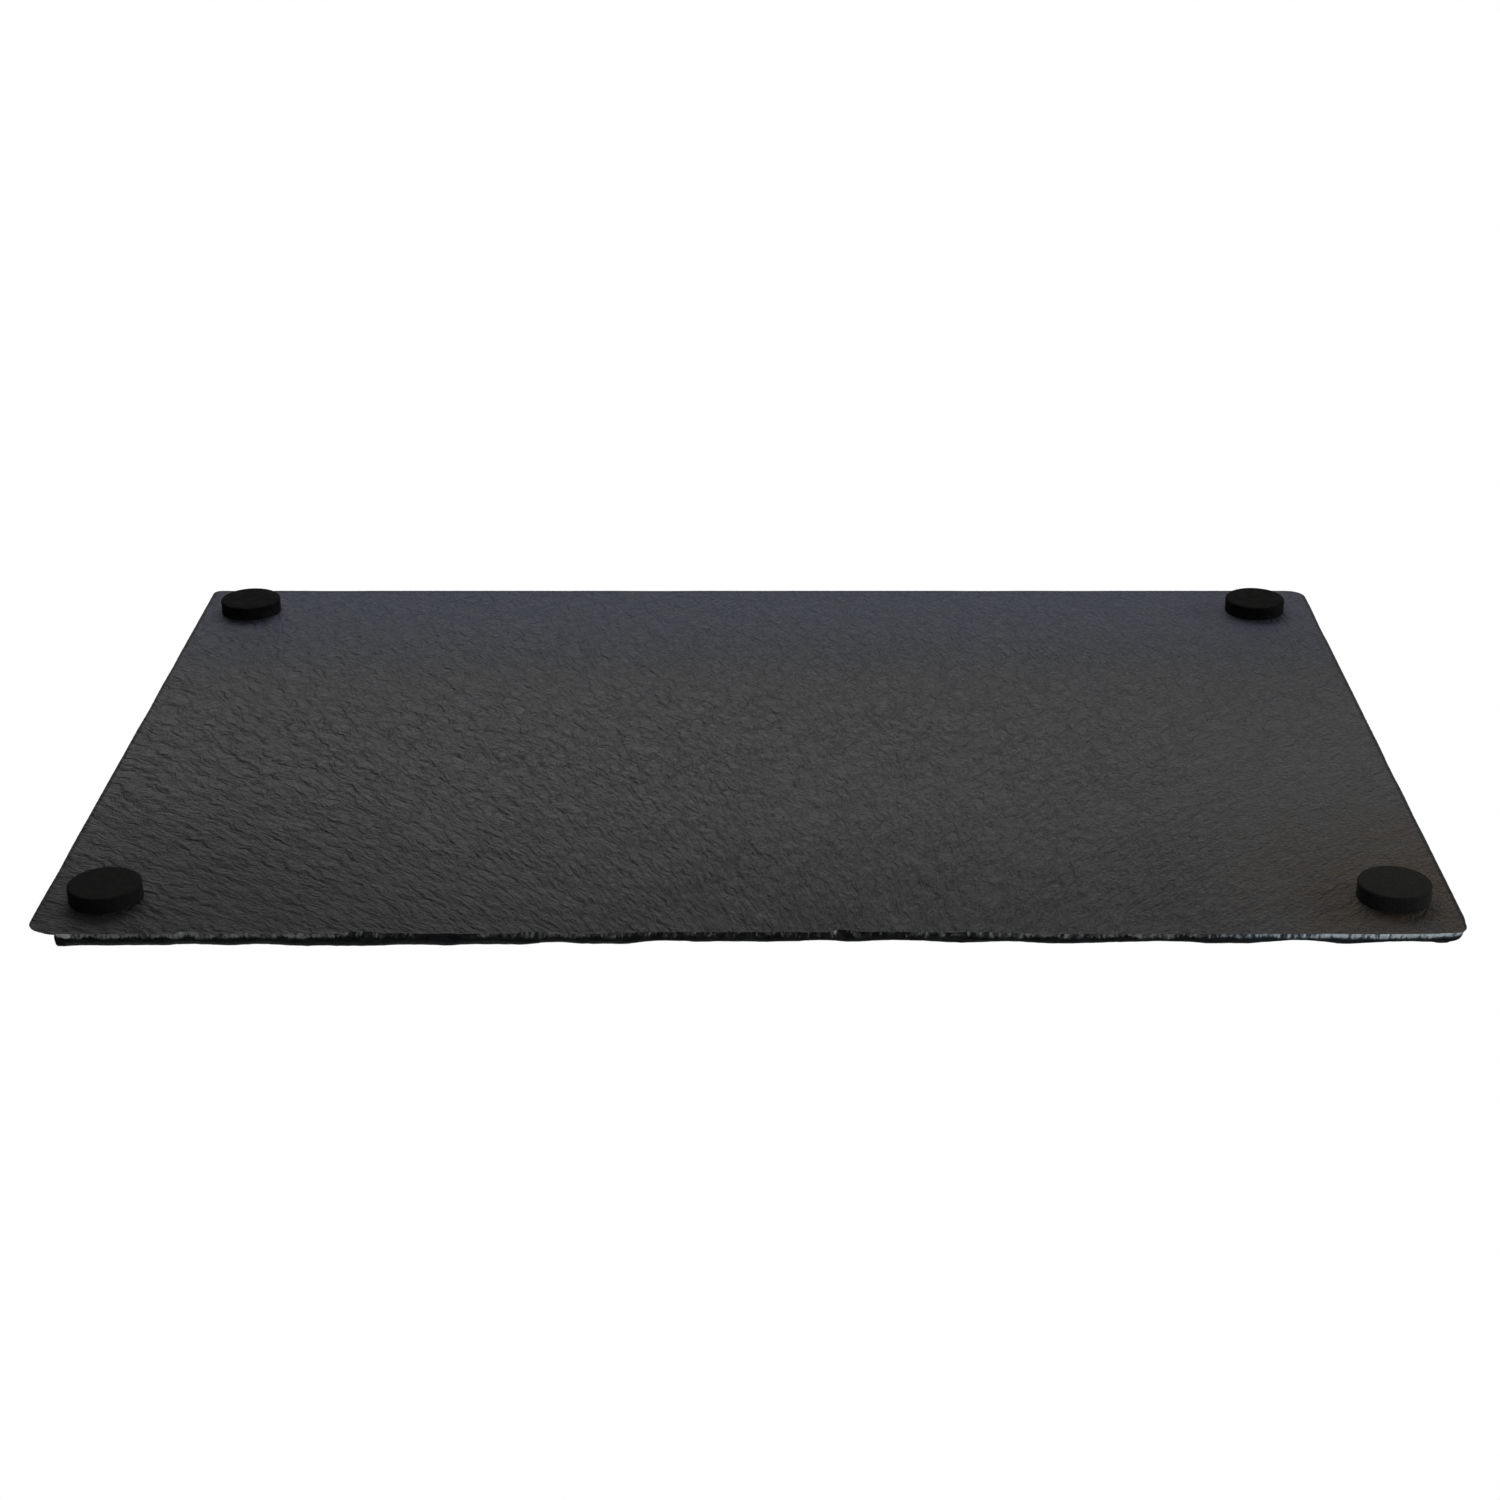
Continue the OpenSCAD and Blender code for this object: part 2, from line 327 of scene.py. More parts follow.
class Ripple(Effect):
    """Riven ripples along lines that run straight at one end and spread towards the other."""

    name = "riven_ripple"
    takes = {"Place": "Vector", "Centre": "Vector", "Bend": "Float", "Across": "Float", "Along": "Float"}
    gives = {"Height": "Float", "Crease": "Float", "Dash": "Float"}
    wander_mm = 3.0
    slow_scale: Place = (1 / 16, 1 / 16, 0.0)
    quick_scale: Place = (1 / 4, 1 / 4, 0.0)
    slow_sway = 2.0
    quick_sway = 0.7
    crease_shift: Place = (7.0, 3.0, 1.0)
    crease_levels: Range = (0.45, 0.95)
    dash_scale: Place = (1.1, 1.3, 1.0)
    dash_levels: Range = (0.56, 0.68)

    def wire(self, wiring: Wiring, given: Any) -> dict[str, Any]:
        """Wires a noise that is long beside the lines and short across them.

        Args:
            wiring: The group's tree.
            given: The sockets of the group's inputs.

        Returns:
            The ripples' height, the thin creases between them, and short dashes; the creases and dashes
            are masks where the finish paints dark shade.
        """
        arm = wiring.vector("SUBTRACT", given["Place"], given["Centre"])
        side, ahead, _ = wiring.axes(wiring.vector("DIVIDE", arm, given["Bend"]))
        squeeze = wiring.math("EXPONENT", wiring.product(ahead, ahead, 0.5))
        line = wiring.math("DIVIDE", wiring.product(side, squeeze), LINE_SPREAD)
        turn = wiring.product(wiring.math("ARCTANGENT", line), LINE_SPREAD, given["Bend"])
        stretch = wiring.math("SQRT", wiring.math("MULTIPLY_ADD", side, side, 1.0))
        reach = wiring.product(wiring.math("DIVIDE", ahead, stretch), given["Bend"])
        slow = wiring.noise(wiring.vector("MULTIPLY", given["Place"], self.slow_scale), 3.0, 0.6)
        quick = wiring.noise(wiring.vector("MULTIPLY", given["Place"], self.quick_scale), 1.0, 0.5)
        sway = wiring.math("MULTIPLY_ADD", slow, self.slow_sway, wiring.product(quick, self.quick_sway))
        sway = wiring.math("SUBTRACT", sway, (self.slow_sway + self.quick_sway) / 2)
        turn = wiring.math("ADD", turn, wiring.product(sway, self.wander_mm))
        across = wiring.math("DIVIDE", turn, given["Across"])
        place = wiring.flat_place(across, wiring.math("DIVIDE", reach, given["Along"]))
        crease_place = wiring.vector("ADD", place, self.crease_shift)
        crease = wiring.noise(crease_place, 3.0, 0.6, "RIDGED_MULTIFRACTAL")
        dash = wiring.noise(wiring.vector("MULTIPLY", place, self.dash_scale), 2.0, 0.5)
        return {
            "Height": wiring.noise(place, 4.0, 0.55),
            "Crease": wiring.spread(crease, *self.crease_levels),
            "Dash": wiring.spread(dash, *self.dash_levels),
        }


class Layers(Effect):
    """Thin layers that have torn off one above another, each ending in a small step."""

    name = "torn_layers"
    takes = {"Place": "Vector", "Size": "Float"}
    gives = {"Height": "Float"}
    count = 7.0
    riser: Range = (0.8, 1.0)

    def wire(self, wiring: Wiring, given: Any) -> dict[str, Any]:
        """Wires a slow noise that is cut into levels.

        Args:
            wiring: The group's tree.
            given: The sockets of the group's inputs.

        Returns:
            The layers' height.
        """
        place = wiring.sized(given["Place"], given["Size"])
        level = wiring.product(wiring.noise(place, 5.0, 0.5), self.count)
        step = wiring.spread(wiring.math("FRACT", level), *self.riser)
        height = wiring.math("ADD", wiring.math("FLOOR", level), step)
        return {"Height": wiring.math("DIVIDE", height, self.count)}


class Flecks(Effect):
    """Small sharp flecks where a surface is bruised, dusty or rubbed."""

    name = "flecks"
    takes = {"Place": "Vector", "Size": "Float", "Amount": "Float"}
    gives = {"Mask": "Float"}
    cut: Range = (0.95, 1.2)

    def wire(self, wiring: Wiring, given: Any) -> dict[str, Any]:
        """Wires a noise that is cut off higher where there is less of it."""
        grain = wiring.noise(wiring.sized(given["Place"], given["Size"]), 4.0, 0.62)
        return {"Mask": wiring.spread(wiring.math("ADD", grain, given["Amount"]), *self.cut)}


@dataclass(frozen=True)
class Spot:
    """A round place on a face, strong in its core and gone at its reach."""

    centre_mm: Place
    reach_mm: float
    core_share: float = 0.1
    most: float = 0.85

    def mask(self, wiring: Wiring, place: Any) -> Socket:
        """Wires how strong the spot is at a place."""
        away = wiring.distance(place, self.centre_mm)
        return wiring.spread(away, self.core_share * self.reach_mm, self.reach_mm, self.most, 0.0)


class Finish:
    """A material with one Principled shader. Each finish has its own inputs for the shader."""

    name: str

    def material(self) -> bpy.types.Material:
        """Builds the material.

        Returns:
            The material.
        """
        material = bpy.data.materials.new(self.name)
        material.use_nodes = True
        material.node_tree.nodes.clear()
        wiring = Wiring(material.node_tree)
        shader = wiring.add("ShaderNodeBsdfPrincipled", self.inputs(wiring))
        wiring.add("ShaderNodeOutputMaterial", {"Surface": self.surface(wiring, shader.outputs[0])})
        return material

    def inputs(self, wiring: Wiring) -> dict[str, Any]:
        """Wires what goes into the shader, and gives a value or a socket for each input."""
        raise NotImplementedError

    def surface(self, wiring: Wiring, shader: Socket) -> Socket:
        """Gives the material's surface, which is the shader unless a finish adds to it."""
        return shader


@dataclass(frozen=True)
class SlateFaceFinish(Finish):
    """One split face of dark slate, with its ripples, its grain and its thin torn layers.

    The three sizes of a ripple are across its line, along it and in height.
    """

    name: str
    dark: Colour = (0.019, 0.0192, 0.0194, 1.0)
    light: Colour = (0.026, 0.0262, 0.0268, 1.0)
    drift_mm: float = 13.0
    pale: Colour = (0.042, 0.0422, 0.0422, 1.0)
    pale_fade: Fade = (-95.0, -35.0, 0.55, 0.85)
    back: Colour = (0.0275, 0.028, 0.0295, 1.0)
    back_fade: Fade = (-20.0, 60.0, 0.0, 0.9)
    # Painted sheen: a bluish tint laid over the back of the face, where the stone reflects the light at a
    # glancing angle.
    painted_sheen_tint: Colour = (0.0228, 0.0261, 0.0372, 1.0)
    painted_sheen_fade: Fade = (28.0, 92.0, 0.0, 0.85)
    # Painted shade, in one round spot and in the creases and dashes between the ripples.
    shade: Colour = (0.010, 0.010, 0.0098, 1.0)
    shade_spot: Spot = Spot((123.0, -118.0, 0.0), 104.0)
    rust: Colour = (0.034, 0.0232, 0.0135, 1.0)
    rust_spot: Spot = Spot((-150.0, -86.0, 0.0), 66.0)
    rust_patch_mm: float = 11.0
    rust_patches: Fade = (0.3, 0.6, 0.35, 1.0)
    olive: Colour = (1.005, 1.0, 0.965, 1.0)
    violet: Colour = (1.005, 0.99, 1.05, 1.0)
    tint_mm: float = 9.0
    tint_shift_mm: Place = (70.0, 20.0, 5.0)
    # Painted light: the colour is lifted over a large round spot towards the front.
    painted_light_and_back_calm: Colour = (1.17, 1.17, 1.17, 1.0)
    painted_light_spot: Spot = Spot((20.0, -55.0, 0.0), 125.0)
    # Painted shade: a thin dark line along both ends of the face, where it turns into the edge.
    rim: Colour = (0.004, 0.004, 0.004, 1.0)
    rim_shade_fade: Fade = (148.9, 149.4, 0.0, 0.85)
    # Share of painted shade in the pits between the grains.
    pit_shade_share: float = 0.25
    # Share of painted shade in the creases and dashes.
    crease_shade_share: float = 0.42
    line_centre_mm: Place = LINE_CENTRE_MM
    ripple_mm: Place = (2.4, 6.4, 3.8)
    fine_ripple_mm: Place = (1.25, 8.0, 1.4)
    fine_fade: Fade = (-85.0, 45.0, 0.0, 1.0)
    side_strength: Fade = (-90.0, 60.0, 0.66, 1.0)
    end_strength: Fade = (-118.0, -88.0, 0.5, 1.0)
    front_mm: Range = (-90.0, -30.0)
    front_strength: Fade = (0.0, 90.0, 1.45, 0.66)
    back_strength: Fade = (-10.0, 50.0, 1.0, 0.34)
    calm_patch_mm: float = 17.0
    calm_patches: Fade = (0.3, 0.6, 0.75, 1.0)
    layer_mm: float = 0.10
    layer_size_mm: float = 22.0
    grain_mm: float = 0.34
    grain_size_mm: float = 0.9
    back_grain: Fade = (48.0, 94.0, 1.0, 0.45)
    fine_grain: Fade = (0.0, 1.0, 1.0, 0.5)
    end_grain: Fade = (-125.0, -70.0, 1.9, 1.0)
    roughness: Fade = (0.3, 0.7, 0.58, 0.74)
    gloss: float = 0.05

    def inputs(self, wiring: Wiring) -> dict[str, Any]:
        """Wires the colour and the relief of the face.

        Args:
            wiring: The material's tree.

        Returns:
            A value or a socket for each of the shader's inputs.
        """
        place = wiring.place_mm()
        side, back, _ = wiring.axes(place)
        strength = self._strength(wiring, place)
        ripples = self._ripples(wiring, place, self.ripple_mm)
        fine_ripples = self._ripples(wiring, place, self.fine_ripple_mm)
        fine = wiring.spread(back, *self.fine_fade)
        # Share that calms the fine ripples and grain towards the back.
        painted_light_and_back_calm = wiring.spread(back, *self.back_grain)
        grainy = wiring.spread(side, *self.end_grain)
        calm = wiring.product(wiring.spread(fine, *self.fine_grain), painted_light_and_back_calm, grainy)
        layers = Layers().place(wiring, Place=place, Size=self.layer_size_mm)
        grain = Speckle().place(wiring, Place=place, Size=self.grain_size_mm)
        # Mask where shade is painted in the creases and dashes, as strong as the ripples.
        crease = wiring.product(wiring.math("ADD", ripples["Crease"], ripples["Dash"]), strength)
        heights = (
            (wiring.product(ripples["Height"], strength), self.ripple_mm[2]),
            (layers["Height"], self.layer_mm),
            (wiring.product(fine_ripples["Height"], fine, painted_light_and_back_calm), self.fine_ripple_mm[2]),
            (wiring.product(grain["Height"], calm), self.grain_mm),
        )
        return {
            "Base Color": self._colour(wiring, place, crease, grain["Pits"]),
            "Roughness": wiring.spread(grain["Height"], *self.roughness),
            "Specular IOR Level": self.gloss,
            "Normal": wiring.relief(heights),
        }

    def _ripples(self, wiring: Wiring, place: Any, size_mm: Place) -> Outputs:
        """Places ripples of one size, and gives their outputs."""
        lines = {"Centre": self.line_centre_mm, "Bend": LINE_BEND_MM}
        return Ripple().place(wiring, Place=place, Across=size_mm[0], Along=size_mm[1], **lines)

    def _strength(self, wiring: Wiring, place: Any) -> Socket:
        """Works out how strong the ripples are: less at one end, at the back and in calm patches.

        Args:
            wiring: The material's tree.
            place: The place in millimetres.

        Returns:
            The socket of a share, up to 1 over most of the face and more at one side of the front.
        """
        side, back, _ = wiring.axes(place)
        at_front = wiring.spread(side, *self.front_strength)
        patch = wiring.noise(wiring.sized(place, self.calm_patch_mm), 2.0, 0.5)
        return wiring.product(
            wiring.spread(side, *self.side_strength),
            wiring.spread(side, *self.end_strength),
            wiring.spread(patch, *self.calm_patches),
            wiring.spread(back, *self.front_mm, at_front, 1.0),
            wiring.spread(back, *self.back_strength),
        )

    def _colour(self, wiring: Wiring, place: Any, crease: Any, pits: Any) -> Socket:
        """Wires the colour: drifting greys, a painted bluish sheen at the back, painted shade in one
        round spot, in the pits and in the creases, painted light over a spot towards the front, a painted
        dark line along both ends, and a rusty corner.

        Args:
            wiring: The material's tree.
            place: The place in millimetres.
            crease: Mask of the creases and dashes between the ripples, where shade is painted.
            pits: Mask of the pits between the grains, where shade is painted.

        Returns:
            The colour's socket.
        """
        side, back, _ = wiring.axes(place)
        grey = {"Size": self.drift_mm, "Low": self.dark, "High": self.light}
        face = Drift().place(wiring, Place=place, **grey)["Colour"]
        face = wiring.blend(wiring.spread(back, *self.pale_fade), face, self.pale)
        face = wiring.blend(wiring.spread(back, *self.back_fade), face, self.back)
        # Painted sheen: a bluish tint over the back.
        face = wiring.blend(wiring.spread(back, *self.painted_sheen_fade), face, self.painted_sheen_tint)
        # Painted shade in one round spot.
        face = wiring.blend(self.shade_spot.mask(wiring, place), face, self.shade)
        patch = wiring.noise(wiring.sized(place, self.rust_patch_mm), 4.0, 0.6)
        patch = wiring.spread(patch, *self.rust_patches)
        face = wiring.blend(wiring.product(self.rust_spot.mask(wiring, place), patch), face, self.rust)
        tints = {"Size": self.tint_mm, "Low": self.olive, "High": self.violet}
        tint = Drift().place(wiring, Place=wiring.vector("ADD", place, self.tint_shift_mm), **tints)
        face = wiring.vector("MULTIPLY", face, tint["Colour"])
        # Painted light: lighter over a large round spot towards the front.
        painted_light_and_back_calm = wiring.blend(self.painted_light_spot.mask(wiring, place), WHITE, self.painted_light_and_back_calm)
        face = wiring.vector("MULTIPLY", face, painted_light_and_back_calm)
        # Painted shade in the pits.
        face = wiring.blend(wiring.product(pits, self.pit_shade_share), face, self.dark)
        # Painted shade: a thin dark line along both ends of the face.
        rim = wiring.spread(wiring.math("ABSOLUTE", side), *self.rim_shade_fade)
        face = wiring.blend(rim, face, self.rim)
        # Painted shade in the creases and dashes between the ripples.
        return wiring.blend(wiring.product(crease, self.crease_shade_share), face, self.shade)


@dataclass(frozen=True)
class SlateEdgeFinish(Finish):
    """Fractured edge of the slate: dark torn stone below a dusty, flecked lip. The stone's darkness is
    partly painted shade, the lip's paler dust and flecks are partly painted light, and at one end
    bluish-white flecks are a painted highlight over painted dim bluish light.
    """

    name = "slate_fractured_edge"

    # The torn stone's greys are partly its own colour and partly painted shade, darker than the faces.
    dark: Colour = (0.010, 0.0101, 0.0107, 1.0)
    light: Colour = (0.027, 0.0277, 0.029, 1.0)
    drift_mm: float = 2.4
    drift_stretch: Place = (1.0, 1.0, 2.5)
    torn_mm: float = 0.5
    torn_stretch: Place = (0.8, 0.8, 3.2)
    grain_mm: float = 0.5 / 3
    grain_size_mm: float = 0.7
    roughness: float = 1.0
    gloss: float = 0.01
    # The lip's dust and flecks are paler near the underside and fade with height: partly real dust and
    # bruising, partly painted light where the lip faces the light.
    lip: Fade = (4.2, 6.0, 1.0, 0.0)
    lip_wave_mm: float = 2.4
    lip_wave_stretch: float = 0.2
    streak_stretch: float = 0.35
    dusty: Colour = (0.10, 0.10, 0.101, 1.0)
    dust_mm: float = 1.2
    dust_extra: float = 0.09
    dust_share: float = 0.85
    flecked: Colour = (0.33, 0.33, 0.326, 1.0)
    fleck_mm: float = 0.85
    # Nearly white on a fresh chip: partly paler broken stone, partly a painted highlight.
    fresh: Colour = (0.70, 0.70, 0.69, 1.0)
    fresh_bruise: Range = (0.74, 0.86)
    # Painted highlight: bluish-white flecks at one end of the front, with painted dim bluish light on the
    # stone and dust around them.
    painted_blue_highlight: Colour = (0.84, 0.91, 0.95, 1.0)
    painted_dim_blue_light: Colour = (0.060, 0.088, 0.120, 1.0)
    painted_blue_fade: Range = (4.0, 5.6)
    blue_from: Fade = (-205.0, -160.0, 0.0, 1.0)
    blue_to: Fade = (-118.0, -92.0, 1.0, 0.0)
    blue_extra_mm: float = 0.2
    # Share of painted dim bluish light on the stone at that end, strongest near the underside.
    dim_blue_light_share: Fade = (4.6, 5.8, 0.6, 0.0)

    def inputs(self, wiring: Wiring) -> dict[str, Any]:
        """Wires the torn stone and its lip.

        Args:
            wiring: The material's tree.

        Returns:
            A value or a socket for each of the shader's inputs.
        """
        place = wiring.place_mm()
        drift = {"Size": self.drift_mm, "Low": self.dark, "High": self.light}
        stone = Drift().place(wiring, Place=wiring.vector("MULTIPLY", place, self.drift_stretch), **drift)
        grain = Speckle().place(wiring, Place=place, Size=self.grain_size_mm)
        torn = wiring.noise(wiring.vector("MULTIPLY", place, self.torn_stretch), 3.0, 0.6)
        return {
            "Base Color": self._lip(wiring, place, stone["Colour"]),
            "Roughness": self.roughness,
            "Specular IOR Level": self.gloss,
            "Normal": wiring.relief(((torn, self.torn_mm), (grain["Height"], self.grain_mm))),
        }

    def _lip(self, wiring: Wiring, place: Any, stone: Any) -> Socket:
        """Wires the lip beside the underside, dusty and streaked, and bluish at one end. Its paler dust
        and flecks are partly painted light, and the bluish end is a painted highlight.

        Args:
            wiring: The material's tree.
            place: The place in millimetres.
            stone: Colour of the torn stone.

        Returns:
            The colour's socket.
        """
        height = wiring.axes(place)[2]
        way = wiring.mask(Mask.ROUND)
        bruise = wiring.mask(Mask.BRUISE)
        end = wiring.product(wiring.spread(way, *self.blue_from), wiring.spread(way, *self.blue_to))
        wave = wiring.noise(wiring.flat_place(wiring.product(way, self.lip_wave_stretch)), 3.0, 0.6)
        wave = wiring.product(wiring.math("SUBTRACT", wave, 0.5), self.lip_wave_mm)
        level = wiring.math("SUBTRACT", height, wave)
        level = wiring.math("SUBTRACT", level, wiring.product(end, self.blue_extra_mm))
        # Paler near the underside: partly real dust and bruising, partly painted light on the lip.
        lip = wiring.spread(level, *self.lip)
        streaks = wiring.flat_place(way, wiring.product(height, self.streak_stretch))
        amount = wiring.product(wiring.math("ADD", bruise, self.dust_extra), lip)
        dust = Flecks().place(wiring, Place=streaks, Size=self.dust_mm, Amount=amount)["Mask"]
        amount = wiring.product(bruise, lip)
        flecks = Flecks().place(wiring, Place=streaks, Size=self.fleck_mm, Amount=amount)["Mask"]
        # Painted bluish highlight in the flecks at one end, dimmer further from the underside.
        fleck = wiring.blend(wiring.spread(height, *self.painted_blue_fade), self.painted_blue_highlight, self.painted_dim_blue_light)
        fleck = wiring.blend(end, self.flecked, fleck)
        fleck = wiring.blend(wiring.spread(bruise, *self.fresh_bruise), fleck, self.fresh)
        # Painted dim bluish light on the stone at that end.
        dim_blue_light_share = wiring.product(end, wiring.spread(height, *self.dim_blue_light_share))
        stone = wiring.blend(dim_blue_light_share, stone, self.painted_dim_blue_light)
        ground = wiring.blend(end, self.dusty, self.painted_dim_blue_light)
        stone = wiring.blend(wiring.product(dust, self.dust_share), stone, ground)
        return wiring.blend(flecks, stone, fleck)


@dataclass(frozen=True)
class FoamFinish(Finish):
    """Black closed-cell foam, matt and finely pitted, dustier on the feet at the front."""

    name = "black_foam"

    low: Colour = (0.004, 0.004, 0.0039, 1.0)
    high: Colour = (0.008, 0.0078, 0.0075, 1.0)
    drift_mm: float = 2.5
    dusty: Colour = (0.022, 0.0215, 0.0205, 1.0)
    front_dust: Fade = (-60.0, 60.0, 1.0, 0.0)
    side_dust: Fade = (-60.0, 60.0, 0.7, 0.25)
    cell_mm: float = 0.45
    pit_mm: float = 0.05
    # Share of painted shade in the pits of the foam's cells.
    pit_shade_share: float = 0.5
    roughness: Fade = (0.3, 0.7, 0.82, 0.95)
    gloss: float = 0.006

    def inputs(self, wiring: Wiring) -> dict[str, Any]:
        """Wires the foam's dust, cells and pits.

        Args:
            wiring: The material's tree.

        Returns:
            A value or a socket for each of the shader's inputs.
        """
        place = wiring.place_mm()
        side, back, _ = wiring.axes(place)
        drift = Drift().place(wiring, Place=place, Size=self.drift_mm, Low=self.low, High=self.high)
        cells = Speckle().place(wiring, Place=place, Size=self.cell_mm)
        dust = wiring.product(wiring.spread(back, *self.front_dust), wiring.spread(side, *self.side_dust))
        foam = wiring.blend(dust, drift["Colour"], self.dusty)
        height = wiring.math("SUBTRACT", cells["Height"], cells["Pits"])
        return {
            # Painted shade in the pits of the cells.
            "Base Color": wiring.blend(wiring.product(cells["Pits"], self.pit_shade_share), foam, self.low),
            "Roughness": wiring.spread(cells["Height"], *self.roughness),
            "Specular IOR Level": self.gloss,
            "Normal": wiring.relief(((height, self.pit_mm),)),
        }


@dataclass(frozen=True)
class AdhesiveFinish(Finish):
    """Thin dark acrylic adhesive, slightly glossy, with a little dust stuck to its edge."""

    name = "acrylic_adhesive"

    low: Colour = (0.020, 0.019, 0.017, 1.0)
    high: Colour = (0.034, 0.032, 0.029, 1.0)
    drift_mm: float = 3.0
    dust: Colour = (0.10, 0.10, 0.10, 1.0)
    dust_mm: float = 0.8
    dust_amount: float = 0.4
    dust_roughness: float = 0.4
    roughness: float = 0.4

    def inputs(self, wiring: Wiring) -> dict[str, Any]:
        """Wires the glue and its dust.

        Args:
            wiring: The material's tree.

        Returns:
            A value or a socket for each of the shader's inputs.
        """
        place = wiring.place_mm()
        drift = Drift().place(wiring, Place=place, Size=self.drift_mm, Low=self.low, High=self.high)
        dust = Flecks().place(wiring, Place=place, Size=self.dust_mm, Amount=self.dust_amount)["Mask"]
        return {
            "Base Color": wiring.blend(dust, drift["Colour"], self.dust),
            "Roughness": wiring.math("MULTIPLY_ADD", dust, self.dust_roughness, self.roughness),
        }


@dataclass(frozen=True)
class FloorFinish(Finish):
    """Pale floor that shows only from above, and fades to white far from the board."""

    name = "pale_floor"

    near: Colour = (0.82, 0.82, 0.82, 1.0)
    roughness: float = 0.9
    gloss: float = 0.1
    fade_mm: Range = (240.0, 750.0)

    def inputs(self, wiring: Wiring) -> dict[str, Any]:
        """Gives the plain values of the floor near the board."""
        return {"Base Color": self.near, "Roughness": self.roughness, "Specular IOR Level": self.gloss}

    def surface(self, wiring: Wiring, shader: Socket) -> Socket:
        """Fades the floor to white far away, and clears it for all but camera rays from above.

        Args:
            wiring: The material's tree.
            shader: The output of the shader.

        Returns:
            The output of the last shader.
        """
        away = wiring.distance(wiring.place_mm(), (0.0, 0.0, 0.0))
        white = wiring.add("ShaderNodeEmission", {"Color": WHITE, "Strength": 1.0}).outputs[0]
        fade = wiring.spread(away, *self.fade_mm)
        top = wiring.add("ShaderNodeMixShader", {0: fade, 1: shader, 2: white}).outputs[0]
        camera_ray = wiring.add("ShaderNodeLightPath", {}).outputs["Is Camera Ray"]
        from_below = wiring.add("ShaderNodeNewGeometry", {}).outputs["Backfacing"]
        seen = wiring.product(camera_ray, wiring.math("SUBTRACT", 1.0, from_below))
        clear = wiring.add("ShaderNodeBsdfTransparent", {}).outputs[0]
        return wiring.add("ShaderNodeMixShader", {0: seen, 1: clear, 2: top}).outputs[0]


@dataclass(frozen=True)
class Stretch:
    """A stretch of places that fades in over its start and out again over its end."""

    start: Range
    end: Range

    def share(self, place: float) -> float:
        """Says how much of a place belongs to the stretch, from 0 to 1."""
        return smooth_share(place, *self.start) * (1 - smooth_share(place, *self.end))


@dataclass(frozen=True)
class Lumps:
    """A noise over the slate's plan, with its number of lumps in a millimetre and its octaves."""

    per_mm: float
    seed: float
    octaves: int = 0

    def share(self, spot: Vector) -> float:
        """Reads the noise at a place, from about 0 to 1.

        Args:
            spot: The place in millimetres.

        Returns:
            A share, which is plain noise where there are no octaves.
        """
        place = Vector((spot.x, spot.y, self.seed)) * self.per_mm
        if not self.octaves:
            return as_share(noise.noise(place))
        return as_share(noise.fractal(place, 1.0, 2.0, self.octaves))


